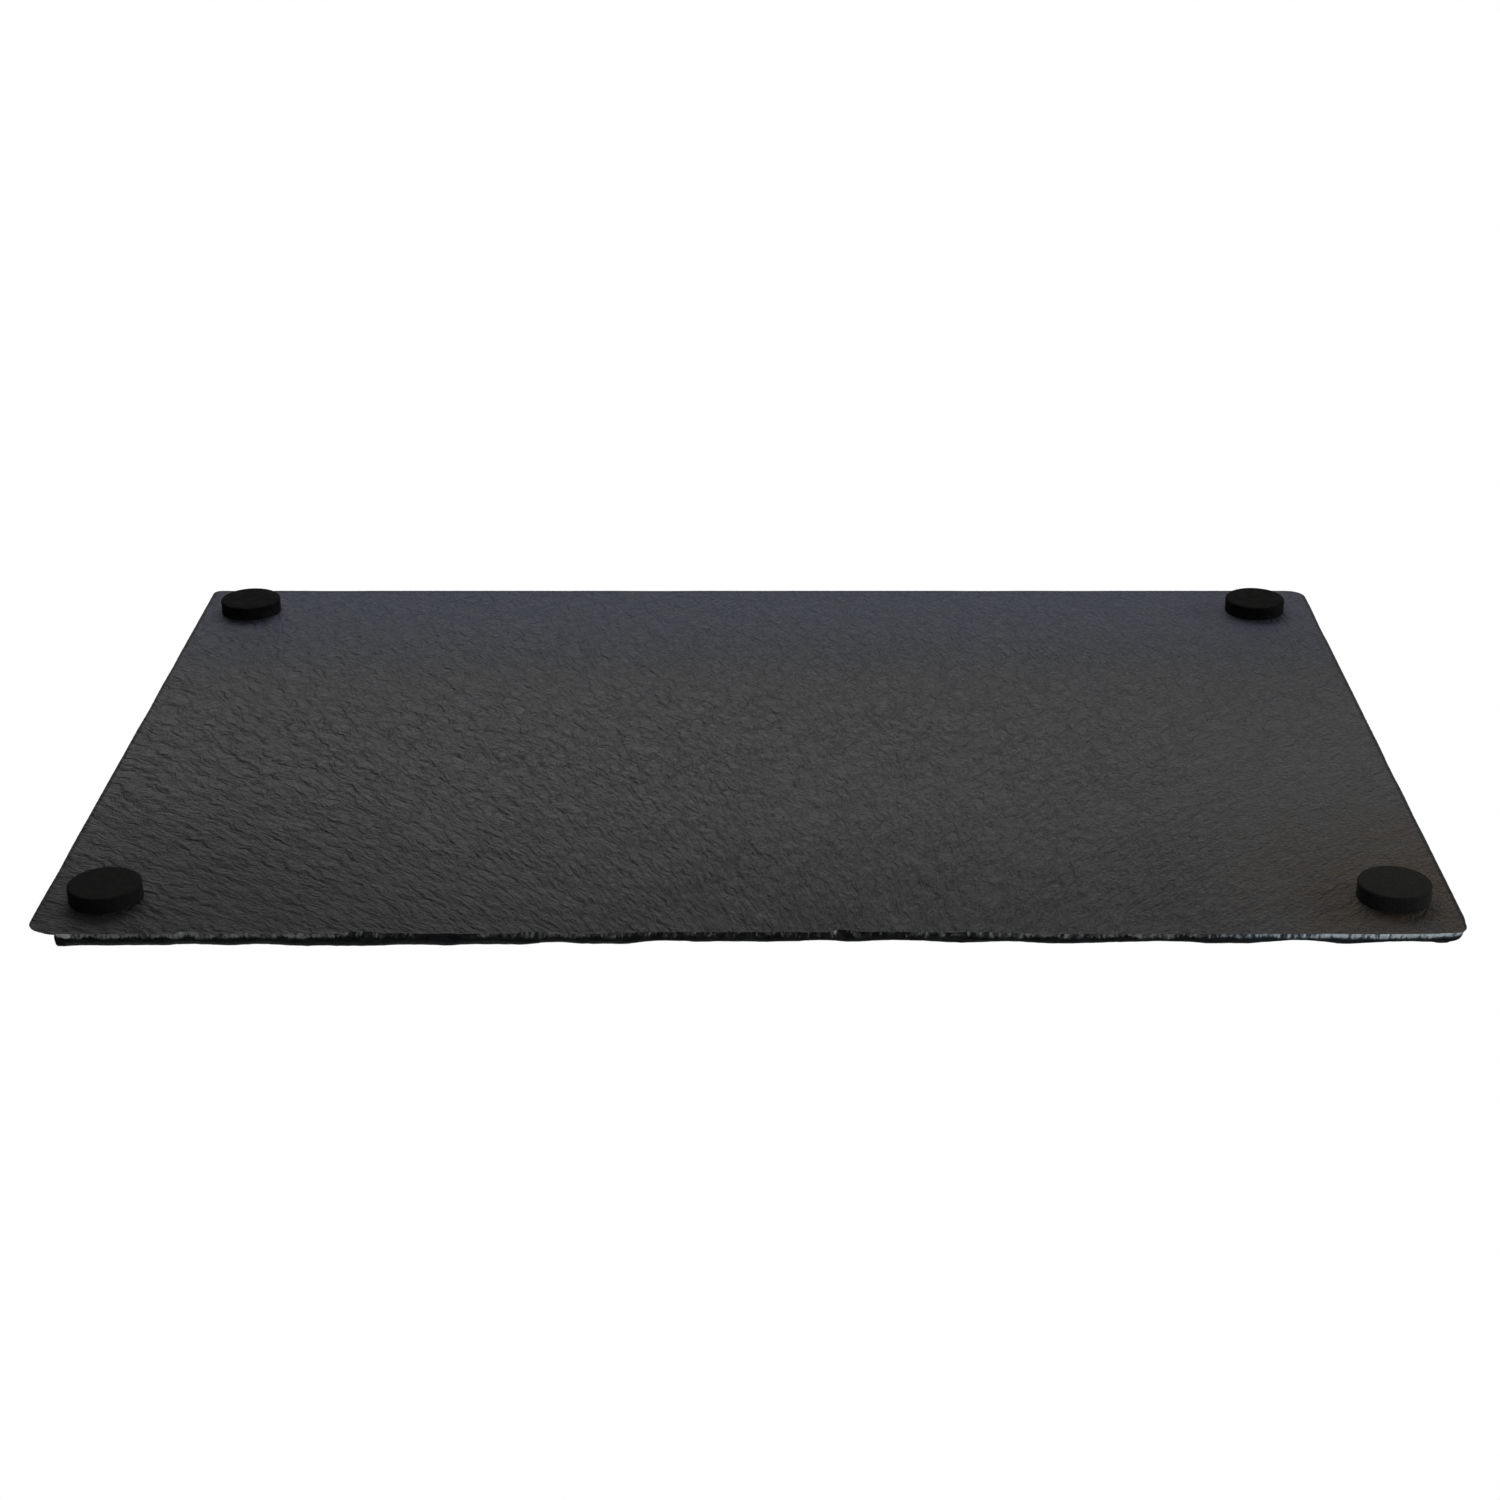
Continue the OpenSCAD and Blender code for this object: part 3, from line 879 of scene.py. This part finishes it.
@dataclass
class SlateSlab:
    """The split slate, with its riven faces and its hand-dressed edge.

    A unit grid is extruded and subdivided. Its points are then moved onto the packed
    slate, whose edge is found with rays, and the relief is worked into it from there.
    A cell is a place on the grid, from -1 to 1 both ways. Heights are above the underside,
    and front places are counted forward from the middle. A bruise shift is its middle along the
    front, its reach and what it adds to the bruise.
    """

    # The grid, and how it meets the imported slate
    seats_mm: list[Vector]
    columns: int = 146
    rows: int = 100
    wall_cuts: int = 8
    ring_heights_mm: tuple[float, ...] = (0.0, 0.25, 0.6, 1.0, 1.35, 1.9, 2.5, 3.1, 3.75, 4.4)
    fine_rows: int = 8
    first_row_mm: float = 0.25
    row_growth: float = 1.35
    corner_turn_mm: float = 14.0
    ease_mm: float = 30.0
    ray_start_mm: float = 2.0
    ray_drop_mm: float = 5.0
    lowest_ray_mm: float = 0.02
    flat_normal: float = 0.93

    # Small losses of the lip and of one corner
    arris_mm: float = 0.12
    lip_mm: Range = (0.0, 1.2)
    front_mm: Range = (90.0, 95.0)
    nibbles: Lumps = Lumps(0.9, 4.0)
    nick_mm: float = 1.1
    nicks: Lumps = Lumps(0.14, 40.0)
    nick_levels: Range = (0.56, 0.75)
    nicked_mm: Stretch = Stretch((-70.0, -40.0), (120.0, 135.0))
    torn_back_mm: float = 1.1
    torn_mm: Stretch = Stretch((-62.0, -48.0), (18.0, 34.0))
    lost_corner_mm: Range = (0.6, 1.1)
    lost_side_mm: Range = (141.0, 147.0)
    lost_front_mm: Range = (92.0, 98.0)
    lost_height_mm: Range = (0.2, 1.9)

    # The dressed edge, and how bruised it is
    swell_mm: float = 0.33
    swell_height_mm: Range = (0.6, 1.9)
    scallop_mm: float = 0.30
    scallops_per_mm: Range = (0.42, 0.34)
    bowl_shares: Range = (0.65, 0.35)
    bowl_steepness: float = 1.4
    crumbs_per_mm: float = 1.1
    ridge_levels: Range = (0.02, 0.25)
    plain_bruise: float = 0.49
    ridge_bruise: float = 0.10
    fresh_bruise: float = 0.8
    fresh_mm: Stretch = Stretch((139.9, 141.3), (142.7, 143.7))
    fresh_height_mm: Range = (0.9, 1.5)
    bruise_shifts_mm: tuple[Place, ...] = (
        (112.0, 34.0, 0.05),
        (65.0, 26.0, -0.06),
        (62.0, 8.0, -0.20),
        (-8.0, 52.0, -0.12),
        (-133.0, 20.0, 0.13),
    )
    sheared_mm: Range = (143.4, 144.6)
    sheared_front_mm: Range = (70.0, 76.0)
    sheared_height_mm: Range = (0.15, 0.35)

    # Relief of the two faces
    relief_mm: float = 0.22
    wave_mm: Range = (5.0, 26.0)
    wave_seed: float = 2.0
    wave_strength: Fade = (-90.0, 60.0, 0.35, 1.0)
    wave_share: float = 0.6
    underside_lumps: Lumps = Lumps(1 / 34, 9.0, 2)
    seat_mm: Range = (8.4, 12.0)
    underside_rim_mm: Range = (0.0, 1.5)
    serving_lumps: Lumps = Lumps(1 / 30, 21.0, 3)
    serving_rim_mm: Range = (5.0, 14.0)

    node = "slate_board"

    def __post_init__(self) -> None:
        """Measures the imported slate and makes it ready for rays."""
        low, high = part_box(self.node)
        self.half = Vector((high.x, high.y)) / MM
        self.deck = low.z / MM
        self.top = high.z / MM
        shape = bmesh.new()
        shape.from_mesh(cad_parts[self.node].data)
        self.rays = BVHTree.FromBMesh(shape)
        shape.free()
        self._insets: dict[tuple[float, float, float], Vector] = {}

    def build(self) -> Piece:
        """Makes the slab.

        Returns:
            The finished piece.
        """
        work = self._blank()
        for face in work.faces:
            rises = {vert.co.z for vert in face.verts}
            side = {(0.0,): Side.UNDERSIDE, (1.0,): Side.SERVING}.get(tuple(rises), Side.EDGE)
            face.material_index = side.value
        bruise = work.verts.layers.float.new(Mask.BRUISE.value)
        way_round = work.verts.layers.float.new(Mask.ROUND.value)
        for vert in work.verts:
            cell, rise = vert.co.xy, vert.co.z
            if max(abs(cell.x), abs(cell.y)) > 1 - TOUCH:
                spot, vert[bruise] = self._wall_spot(cell, rise)
                vert[way_round] = self._way_round(cell)
            elif rise < 0.5:
                spot = self._underside_spot(cell)
            else:
                spot = self._serving_spot(cell)
            vert.co = spot * MM
        bmesh.ops.triangulate(work, faces=[face for face in work.faces if len(face.verts) > 4])
        work.normal_update()
        bmesh.ops.recalc_face_normals(work, faces=work.faces)
        if work.calc_volume(signed=True) < 0:
            bmesh.ops.reverse_faces(work, faces=work.faces)
        work.normal_update()
        self._finish_rim(work)
        piece = keep_mesh("split_slate_slab", work)
        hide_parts(self.node)
        return piece

    def _finish_rim(self, work: bmesh.types.BMesh) -> None:
        """Gives the steep part of the serving face's rim to the edge, and keeps the rims crisp.

        Args:
            work: The shaped slab.
        """
        for face in work.faces:
            face.smooth = True
            if face.material_index == Side.SERVING.value and face.normal.z < self.flat_normal:
                face.material_index = Side.EDGE.value
        for edge in work.edges:
            sides = {face.material_index for face in edge.link_faces}
            edge.smooth = len(sides) == 1

    def _blank(self) -> bmesh.types.BMesh:
        """Makes the closed unit slab, with small cells below and round the wall.

        Returns:
            A bmesh from -1 to 1 along both sides and from 0 to 1 in height.
        """
        work = bmesh.new()
        bmesh.ops.create_grid(work, x_segments=self.columns, y_segments=self.rows, size=1.0)
        raised = bmesh.ops.extrude_face_region(work, geom=work.faces[:])
        top = [item for item in raised["geom"] if isinstance(item, bmesh.types.BMVert)]
        bmesh.ops.translate(work, verts=top, vec=(0.0, 0.0, 1.0))
        self._split(work, lambda a, b: a.z == b.z == 0.0 or self._on_rim(a, b), 1)
        self._split(work, self._on_rim, 1)
        self._split(work, lambda a, b: a.z != b.z, self.wall_cuts)
        return work

    @staticmethod
    def _on_rim(a: Vector, b: Vector) -> bool:
        """Says whether an edge lies along the blank's rim, at one height."""
        level = a.z == b.z
        return level and any(abs(a[i]) > 1 - TOUCH and abs(a[i] - b[i]) < TOUCH for i in (0, 1))

    @staticmethod
    def _split(work: bmesh.types.BMesh, chosen: Callable[[Vector, Vector], bool], cuts: int) -> None:
        """Subdivides the edges whose two ends pass a test, with this number of cuts in each."""
        edges = [edge for edge in work.edges if chosen(edge.verts[0].co, edge.verts[1].co)]
        bmesh.ops.subdivide_edges(work, edges=edges, cuts=cuts, use_grid_fill=True)

    def _fine_mm(self, steps: float) -> float:
        """Adds up the widths of the first rows beside the rim."""
        return self.first_row_mm * (self.row_growth**steps - 1) / (self.row_growth - 1)

    def _stretch(self, share: float, cells: int, half: float) -> float:
        """Finds a place along one axis of the slab, with the rows close together at its rim.

        Args:
            share: Place on the blank, from -1 to 1.
            cells: Number of cells along the axis.
            half: Half of the slab's length along the axis, in millimetres.

        Returns:
            The place in millimetres from the middle.
        """
        steps = (1 - abs(share)) * cells / 2
        inward = self._fine_mm(min(steps, self.fine_rows))
        if steps > self.fine_rows:
            inward += (steps - self.fine_rows) * (half - inward) / (cells / 2 - self.fine_rows)
        return math.copysign(half - inward, share)

    def _plain(self, cell: Vector) -> Vector:
        """Finds a cell's place on the plain rectangle, in millimetres."""
        back = self._stretch(cell.y, self.rows, self.half.y)
        return Vector((self._stretch(cell.x, self.columns, self.half.x), back))

    def _rim_mm(self, spot: Vector) -> float:
        """Measures how far a place is from the plain rectangle's rim."""
        return min(self.half.x - abs(spot.x), self.half.y - abs(spot.y))

    def _inward(self, cell: Vector) -> Vector:
        """Finds the direction that runs square into the slab from a place on its rim.

        Args:
            cell: The cell on the rim.

        Returns:
            The direction, which turns to the diagonal at a corner.
        """
        plain = self._plain(cell)
        on_end = abs(cell.x) > abs(cell.y)
        from_corner = self.half.y - abs(plain.y) if on_end else self.half.x - abs(plain.x)
        square = Vector((1.0, 0.0)) if on_end else Vector((0.0, 1.0))
        share = smooth_share(from_corner, 0.0, self.corner_turn_mm)
        turned = Vector((1.0, 1.0)).normalized().lerp(square, share).normalized()
        return Vector((-math.copysign(turned.x, cell.x), -math.copysign(turned.y, cell.y)))

    def _inset(self, cell: Vector, height_mm: float) -> Vector:
        """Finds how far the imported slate's edge lies from the plain rectangle's rim.

        Args:
            cell: The cell on the rim.
            height_mm: Height at which the ray is cast.

        Returns:
            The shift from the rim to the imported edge.
        """
        key = (round(cell.x, 6), round(cell.y, 6), height_mm)
        if key not in self._insets:
            plain, inward = self._plain(cell), self._inward(cell)
            start = plain - inward * self.ray_start_mm
            height = self.deck + max(height_mm, self.lowest_ray_mm)
            hit = self.rays.ray_cast(Vector((start.x, start.y, height)) * MM, inward.to_3d())[0]
            spot = Vector((hit.x, hit.y)) / MM
            self._insets[key] = spot + inward * self._nick(spot, height_mm) - plain
        return self._insets[key]

    def _nick(self, spot: Vector, height_mm: float) -> float:
        """Works out how far small chips and one lost corner cut into the edge.

        Args:
            spot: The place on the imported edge, in millimetres.
            height_mm: Its height. The chips end above the lip.

        Returns:
            The cut in millimetres.
        """
        nibble = self.nibbles.share(spot)
        nick = self.nick_mm * smooth_share(self.nicks.share(spot), *self.nick_levels)
        torn = self.torn_back_mm * as_share(nibble)
        chip = nick * self.nicked_mm.share(spot.x) + torn * self.torn_mm.share(spot.x)
        chip *= smooth_share(-spot.y, *self.front_mm)
        chip += self.arris_mm * (0.3 + 0.7 * nibble)
        low, high = self.lost_corner_mm
        lost = low + (high - low) * smooth_share(height_mm, *self.lost_height_mm)
        lost *= smooth_share(-spot.x, *self.lost_side_mm) * smooth_share(-spot.y, *self.lost_front_mm)
        return chip * (1 - smooth_share(height_mm, *self.lip_mm)) + lost

    def _way_round(self, cell: Vector) -> float:
        """Measures how far round the rim a place is from the middle of the front.

        Args:
            cell: The cell on the rim.

        Returns:
            The way in millimetres.
        """
        plain = self._plain(cell)
        if abs(cell.x) > abs(cell.y):
            return math.copysign(self.half.x + self.half.y + plain.y, plain.x)
        return plain.x if cell.y < 0 else 2 * (self.half.x + self.half.y) - plain.x

    def _wall_spot(self, cell: Vector, rise: float) -> tuple[Vector, float]:
        """Finds the place of a point on the dressed edge.

        Args:
            cell: The cell on the rim.
            rise: Share of the wall's height.

        Returns:
            The place in millimetres, and how bruised the stone is there.
        """
        level = rise * (len(self.ring_heights_mm) - 1)
        height = self.ring_heights_mm[round(level)]
        spot = self._plain(cell) + self._inset(cell, height)
        cut, bruise = self._fracture(Vector((spot.x, spot.y, height)))
        cut -= self.swell_mm * smooth_share(height, *self.swell_height_mm)
        if level > 0.5:
            spot += self._inward(cell) * cut
        return Vector((spot.x, spot.y, self.deck + height)), bruise

    def _fracture(self, place: Vector) -> tuple[float, float]:
        """Works out the small scallops that dressing leaves on the edge.

        Args:
            place: The place on the edge, in millimetres, with its height above the underside.

        Returns:
            How far the point is cut in, in millimetres, and how bruised it is.
        """
        flat, upright = self.scallops_per_mm
        near, _ = noise.voronoi(Vector((place.x * flat, place.y * flat, place.z * upright)))
        bowl = max(0.0, 1 - near[0] * self.bowl_steepness)
        crumb = as_share(noise.fractal(place * self.crumbs_per_mm, 1.0, 2.0, 3))
        ridge = 1 - smooth_share(near[1] - near[0], *self.ridge_levels)
        fresh = self.fresh_mm.share(place.x) * float(place.y < 0)
        fresh *= 1 - smooth_share(place.z, *self.fresh_height_mm)
        bruise = self.plain_bruise + self.ridge_bruise * ridge + self.fresh_bruise * fresh
        if -place.y > self.front_mm[0]:
            for along, reach, amount in self.bruise_shifts_mm:
                bruise += amount * (1 - smooth_share(abs(place.x - along), reach / 2, reach))
        sheared = smooth_share(place.x, *self.sheared_mm) * smooth_share(-place.y, *self.sheared_front_mm)
        bruise *= 1 - sheared * smooth_share(place.z, *self.sheared_height_mm)
        return self.scallop_mm * (self.bowl_shares[0] * bowl + self.bowl_shares[1] * crumb), bruise

    def _eased(self, cell: Vector, height_mm: float) -> Vector:
        """Finds the place of a point on either face, which follows the edge near the rim.

        Args:
            cell: The point's cell.
            height_mm: Height of the ring that the face meets.

        Returns:
            The place in millimetres.
        """
        plain = self._plain(cell)
        corner = Vector((math.copysign(1.0, cell.x), math.copysign(1.0, cell.y)))
        near_end = max(0.0, 1 - (self.half.x - abs(plain.x)) / self.ease_mm) ** 2
        near_side = max(0.0, 1 - (self.half.y - abs(plain.y)) / self.ease_mm) ** 2
        shift = Vector((0.0, 0.0))
        if near_end > 0:
            shift += self._inset(Vector((corner.x, cell.y)), height_mm) * near_end
        if near_side > 0:
            shift += self._inset(Vector((cell.x, corner.y)), height_mm) * near_side
        if near_end > 0 and near_side > 0:
            shift -= self._inset(corner, height_mm) * near_end * near_side
        return plain + shift

    def _waves(self, spot: Vector) -> float:
        """Reads a noise that is drawn out beside the same lines as the finish's ripples.

        Args:
            spot: The place in millimetres.

        Returns:
            The noise, from about 0 to 1.
        """
        far = (spot - Vector(LINE_CENTRE_MM[:2])) / LINE_BEND_MM
        line = LINE_SPREAD * math.atan(far.x * math.exp(far.y * far.y / 2) / LINE_SPREAD)
        reach = far.y / math.sqrt(1 + far.x * far.x)
        across, along = (LINE_BEND_MM / size for size in self.wave_mm)
        place = Vector((line * across, reach * along, self.wave_seed))
        return as_share(noise.fractal(place, 1.0, 2.0, 3))

    def _underside_spot(self, cell: Vector) -> Vector:
        """Finds the place of a point on the riven underside.

        Args:
            cell: The point's cell.

        Returns:
            The place in millimetres.
        """
        spot = self._eased(cell, 0.0)
        start, end, least, most = self.wave_strength
        strength = least + (most - least) * smooth_share(spot.x, start, end)
        waves = self.wave_share * self._waves(spot) * strength
        relief = self.relief_mm * (waves + (1 - self.wave_share) * self.underside_lumps.share(spot))
        relief *= smooth_share(min((spot - seat).length for seat in self.seats_mm), *self.seat_mm)
        relief *= smooth_share(self._rim_mm(spot), *self.underside_rim_mm)
        return Vector((spot.x, spot.y, self.deck + max(0.0, relief)))

    def _serving_spot(self, cell: Vector) -> Vector:
        """Finds the place of a point on the serving face.

        Args:
            cell: The point's cell.

        Returns:
            The place in millimetres.
        """
        spot = self._eased(cell, self.ring_heights_mm[-1])
        start = Vector((spot.x, spot.y, self.top + self.ray_drop_mm))
        hit = self.rays.ray_cast(start * MM, Vector((0.0, 0.0, -1.0)))[0]
        relief = self.relief_mm * self.serving_lumps.share(spot)
        relief *= smooth_share(self._rim_mm(spot), *self.serving_rim_mm)
        return Vector((spot.x, spot.y, hit.z / MM - relief))


@dataclass
class FootPad:
    """A die-cut foam pad, with its rim rounded where it stands.

    The foam is cut a little slim, and is stuck on by hand a little towards the middle.
    """

    foot: Foot
    segments: int = 96
    rim_steps: int = 5
    face_rings: int = 7
    rim_mm: float = 0.5
    top_ease_mm: float = 0.1
    waist_mm: float = 0.06
    waist_shares: tuple[float, ...] = (0.35, 0.5, 0.65, 0.8, 0.95)
    uneven_mm: float = 0.05
    lump_mm: float = 1.6
    slim_mm: float = 0.1
    inward_mm: float = 0.5
    weld_mm: float = 0.001

    def __post_init__(self) -> None:
        """Takes the pad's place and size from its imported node."""
        self.node = f"foot_pad_{self.foot.value}"
        self.low, self.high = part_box(self.node)
        inward = self.inward_mm * MM
        self.centre = (self.low + self.high) / 2
        self.centre.x -= math.copysign(inward, self.centre.x)
        self.centre.y -= inward if self.centre.y > 0 else 0.0
        self.radius = (self.high.x - self.low.x) / 2 - self.slim_mm * MM
        self.height = self.high.z - self.low.z

    def _profile(self) -> list[Vector]:
        """Works out half of the pad's section, from the middle of its foot to the middle of its top.

        Returns:
            The section's points, in the plane y = 0.
        """
        rim = self.rim_mm * MM
        foot = Vector((self.radius - rim, 0, 0))
        top = Vector((self.radius - self.top_ease_mm * MM, 0, 0))
        points = [foot * (i / self.face_rings) for i in range(self.face_rings + 1)]
        for i in range(1, self.rim_steps + 1):
            turn = math.pi / 2 * i / self.rim_steps
            points.append(foot + rim * Vector((math.sin(turn), 0, 1 - math.cos(turn))))
        for share in self.waist_shares:
            waist = self.waist_mm * MM * math.sin(math.pi * share)
            points.append(Vector((self.radius - waist, 0, self.height * share)))
        for i in range(self.face_rings, -1, -1):
            points.append(top * (i / self.face_rings) + Vector((0, 0, self.height)))
        return points

    def build(self) -> Piece:
        """Makes the pad.

        Returns:
            The finished piece.
        """
        work = bmesh.new()
        verts = [work.verts.new(point) for point in self._profile()]
        edges = [work.edges.new(pair) for pair in zip(verts, verts[1:])]
        bmesh.ops.spin(
            work, geom=verts + edges, cent=(0, 0, 0), axis=(0, 0, 1), dvec=(0, 0, 0),
            angle=2 * math.pi, steps=self.segments, use_merge=True,
        )
        bmesh.ops.remove_doubles(work, verts=work.verts, dist=self.weld_mm * MM)
        for vert in work.verts:
            out = Vector((vert.co.x, vert.co.y, 0.0))
            if out.length > self.radius / 2:
                uneven = as_share(noise.noise((vert.co + self.centre) / (self.lump_mm * MM)))
                vert.co -= out.normalized() * self.uneven_mm * MM * uneven
        bmesh.ops.translate(work, verts=work.verts, vec=(self.centre.x, self.centre.y, self.low.z))
        bmesh.ops.recalc_face_normals(work, faces=work.faces)
        for face in work.faces:
            face.smooth = True
        piece = keep_mesh(f"foam_foot_{self.foot.value}", work)
        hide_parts(self.node)
        return piece


@dataclass
class AdhesiveDisc:
    """The double-sided adhesive between a pad and the slate, a little smaller than the pad."""

    pad: FootPad
    margin_mm: float = 0.4

    def build(self) -> Piece:
        """Makes the disc.

        Returns:
            The finished piece.
        """
        node = f"adhesive_disc_{self.pad.foot.value}"
        low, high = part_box(node)
        radius = self.pad.radius - self.margin_mm * MM
        work = bmesh.new()
        bmesh.ops.create_cone(
            work, cap_ends=True, segments=self.pad.segments, radius1=radius, radius2=radius,
            depth=high.z - low.z,
        )
        place = (self.pad.centre.x, self.pad.centre.y, (low.z + high.z) / 2)
        bmesh.ops.translate(work, verts=work.verts, vec=place)
        piece = keep_mesh(f"adhesive_{self.pad.foot.value}", work)
        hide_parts(node)
        return piece


@dataclass(frozen=True)
class Lamp:
    """A soft rectangular lamp that looks at the board."""

    name: str
    place: Place
    size: Range
    watts: float
    colour: Place = (1.0, 1.0, 1.0)

    def build(self) -> None:
        """Hangs the lamp, hidden from the camera."""
        light = bpy.data.lights.new(self.name, "AREA")
        light.shape = "RECTANGLE"
        light.size, light.size_y = self.size
        light.energy = self.watts
        light.color = self.colour
        lamp = bpy.data.objects.new(self.name, light)
        lamp.location = self.place
        lamp.rotation_euler = (-Vector(self.place)).to_track_quat("-Z", "Y").to_euler()
        lamp.visible_camera = False
        bpy.context.scene.collection.objects.link(lamp)


@dataclass
class Studio:
    """The camera, the lamps, the world and the floor."""

    camera_place: Place = (-0.00913, -0.5822, -0.2551)
    camera_pitch_deg: float = 24.2
    lens_mm: float = 63.36
    shift: Range = (-0.0279, -0.0009)
    ambient: float = 0.13
    floor_z: float = -0.0004
    floor_half: float = 3.0
    lamps: tuple[Lamp, ...] = (
        Lamp("low_back_lamp", (0.05, 0.42, -0.40), (0.7, 0.3), 3.8),
        Lamp("low_side_lamp", (-1.1, 0.15, -0.30), (0.4, 0.25), 7.2),
        Lamp("low_front_lamp", (-0.36, -0.55, -0.07), (0.4, 0.1), 0.9, (0.88, 0.95, 1.0)),
        Lamp("high_back_lamp", (0.30, 0.70, 0.60), (1.0, 0.5), 13.0),
    )

    def build(self) -> None:
        """Sets up everything that isn't part of the board."""
        self._camera()
        self._world()
        self._floor()
        for lamp in self.lamps:
            lamp.build()
        bpy.context.scene.view_settings.view_transform = "Standard"

    def _camera(self) -> None:
        """Places the camera below the floor, rolled over so that the underside shows as a top."""
        pitch = math.radians(self.camera_pitch_deg)
        right = Vector((-1.0, 0.0, 0.0))
        up = Vector((0.0, math.sin(pitch), -math.cos(pitch)))
        data = bpy.data.cameras.new("camera")
        data.lens = self.lens_mm
        data.shift_x, data.shift_y = self.shift
        camera = bpy.data.objects.new("camera", data)
        turn = Matrix((right, up, right.cross(up))).transposed().to_4x4()
        camera.matrix_world = Matrix.Translation(self.camera_place) @ turn
        bpy.context.scene.collection.objects.link(camera)
        bpy.context.scene.camera = camera

    def _world(self) -> None:
        """Makes a world that shows white and lights the board at a plain level."""
        world = bpy.data.worlds.new("plain_world")
        world.use_nodes = True
        world.node_tree.nodes.clear()
        wiring = Wiring(world.node_tree)
        path = wiring.add("ShaderNodeLightPath", {}).outputs
        shown = wiring.math("MAXIMUM", path["Is Glossy Ray"], path["Is Transmission Ray"])
        shown = wiring.math("MAXIMUM", path["Is Camera Ray"], shown)
        strength = wiring.math("MULTIPLY_ADD", shown, 1 - self.ambient, self.ambient)
        light = wiring.add("ShaderNodeBackground", {"Color": WHITE, "Strength": strength})
        wiring.add("ShaderNodeOutputWorld", {"Surface": light.outputs[0]})
        bpy.context.scene.world = world

    def _floor(self) -> None:
        """Lays the floor just below the feet."""
        work = bmesh.new()
        bmesh.ops.create_grid(work, x_segments=2, y_segments=2, size=self.floor_half)
        bmesh.ops.translate(work, verts=work.verts, vec=(0.0, 0.0, self.floor_z))
        floor = keep_mesh("pale_floor", work)
        floor.data.materials.append(FloorFinish().material())


@dataclass
class ServingBoard:
    """The whole board: the slate, four foam pads and their adhesive discs."""

    underside_finish: SlateFaceFinish = SlateFaceFinish("slate_underside")
    # The serving face keeps a fainter painted sheen tint at the back, and its painted shade spot at one
    # back corner.
    serving_finish: SlateFaceFinish = SlateFaceFinish(
        "slate_serving_face",
        painted_sheen_tint=(0.026, 0.027, 0.030, 1.0),
        rust=(0.032, 0.026, 0.022, 1.0),
        rust_spot=Spot((55.0, 20.0, 0.0), 60.0),
        shade_spot=Spot((-190.0, 150.0, 0.0), 104.0),
        line_centre_mm=(40.0, -95.0, 0.0),
    )
    edge_finish: SlateEdgeFinish = SlateEdgeFinish()
    foam_finish: FoamFinish = FoamFinish()
    adhesive_finish: AdhesiveFinish = AdhesiveFinish()

    def build(self) -> None:
        """Builds, dresses and fastens every piece."""
        feet = [FootPad(foot) for foot in Foot]
        seats = [Vector((pad.centre.x, pad.centre.y)) / MM for pad in feet]
        finishes = {
            Side.UNDERSIDE: self.underside_finish,
            Side.SERVING: self.serving_finish,
            Side.EDGE: self.edge_finish,
        }
        stone = [finishes[side].material() for side in Side]
        self._dress(SlateSlab(seats).build(), stone, "slate")
        foam = self.foam_finish.material()
        adhesive = self.adhesive_finish.material()
        for pad in feet:
            self._dress(pad.build(), [foam], "foot_pad")
            self._dress(AdhesiveDisc(pad).build(), [adhesive], "adhesive")

    @staticmethod
    def _dress(piece: Piece, finishes: list[bpy.types.Material], slot: str) -> None:
        """Gives a piece its finishes, fastens it to the board and reports it.

        Args:
            piece: The piece.
            finishes: Its materials, in the order of its faces' numbers.
            slot: A material slot's name, which is not used.
        """
        for finish in finishes:
            piece.data.materials.append(finish)
        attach(piece, BODY)
        report(piece)


def main() -> None:
    """Builds the studio and the board."""
    logging.basicConfig(level=logging.INFO, format="%(name)s: %(message)s")
    Studio().build()
    ServingBoard().build()


if __name__ == "__main__":
    main()
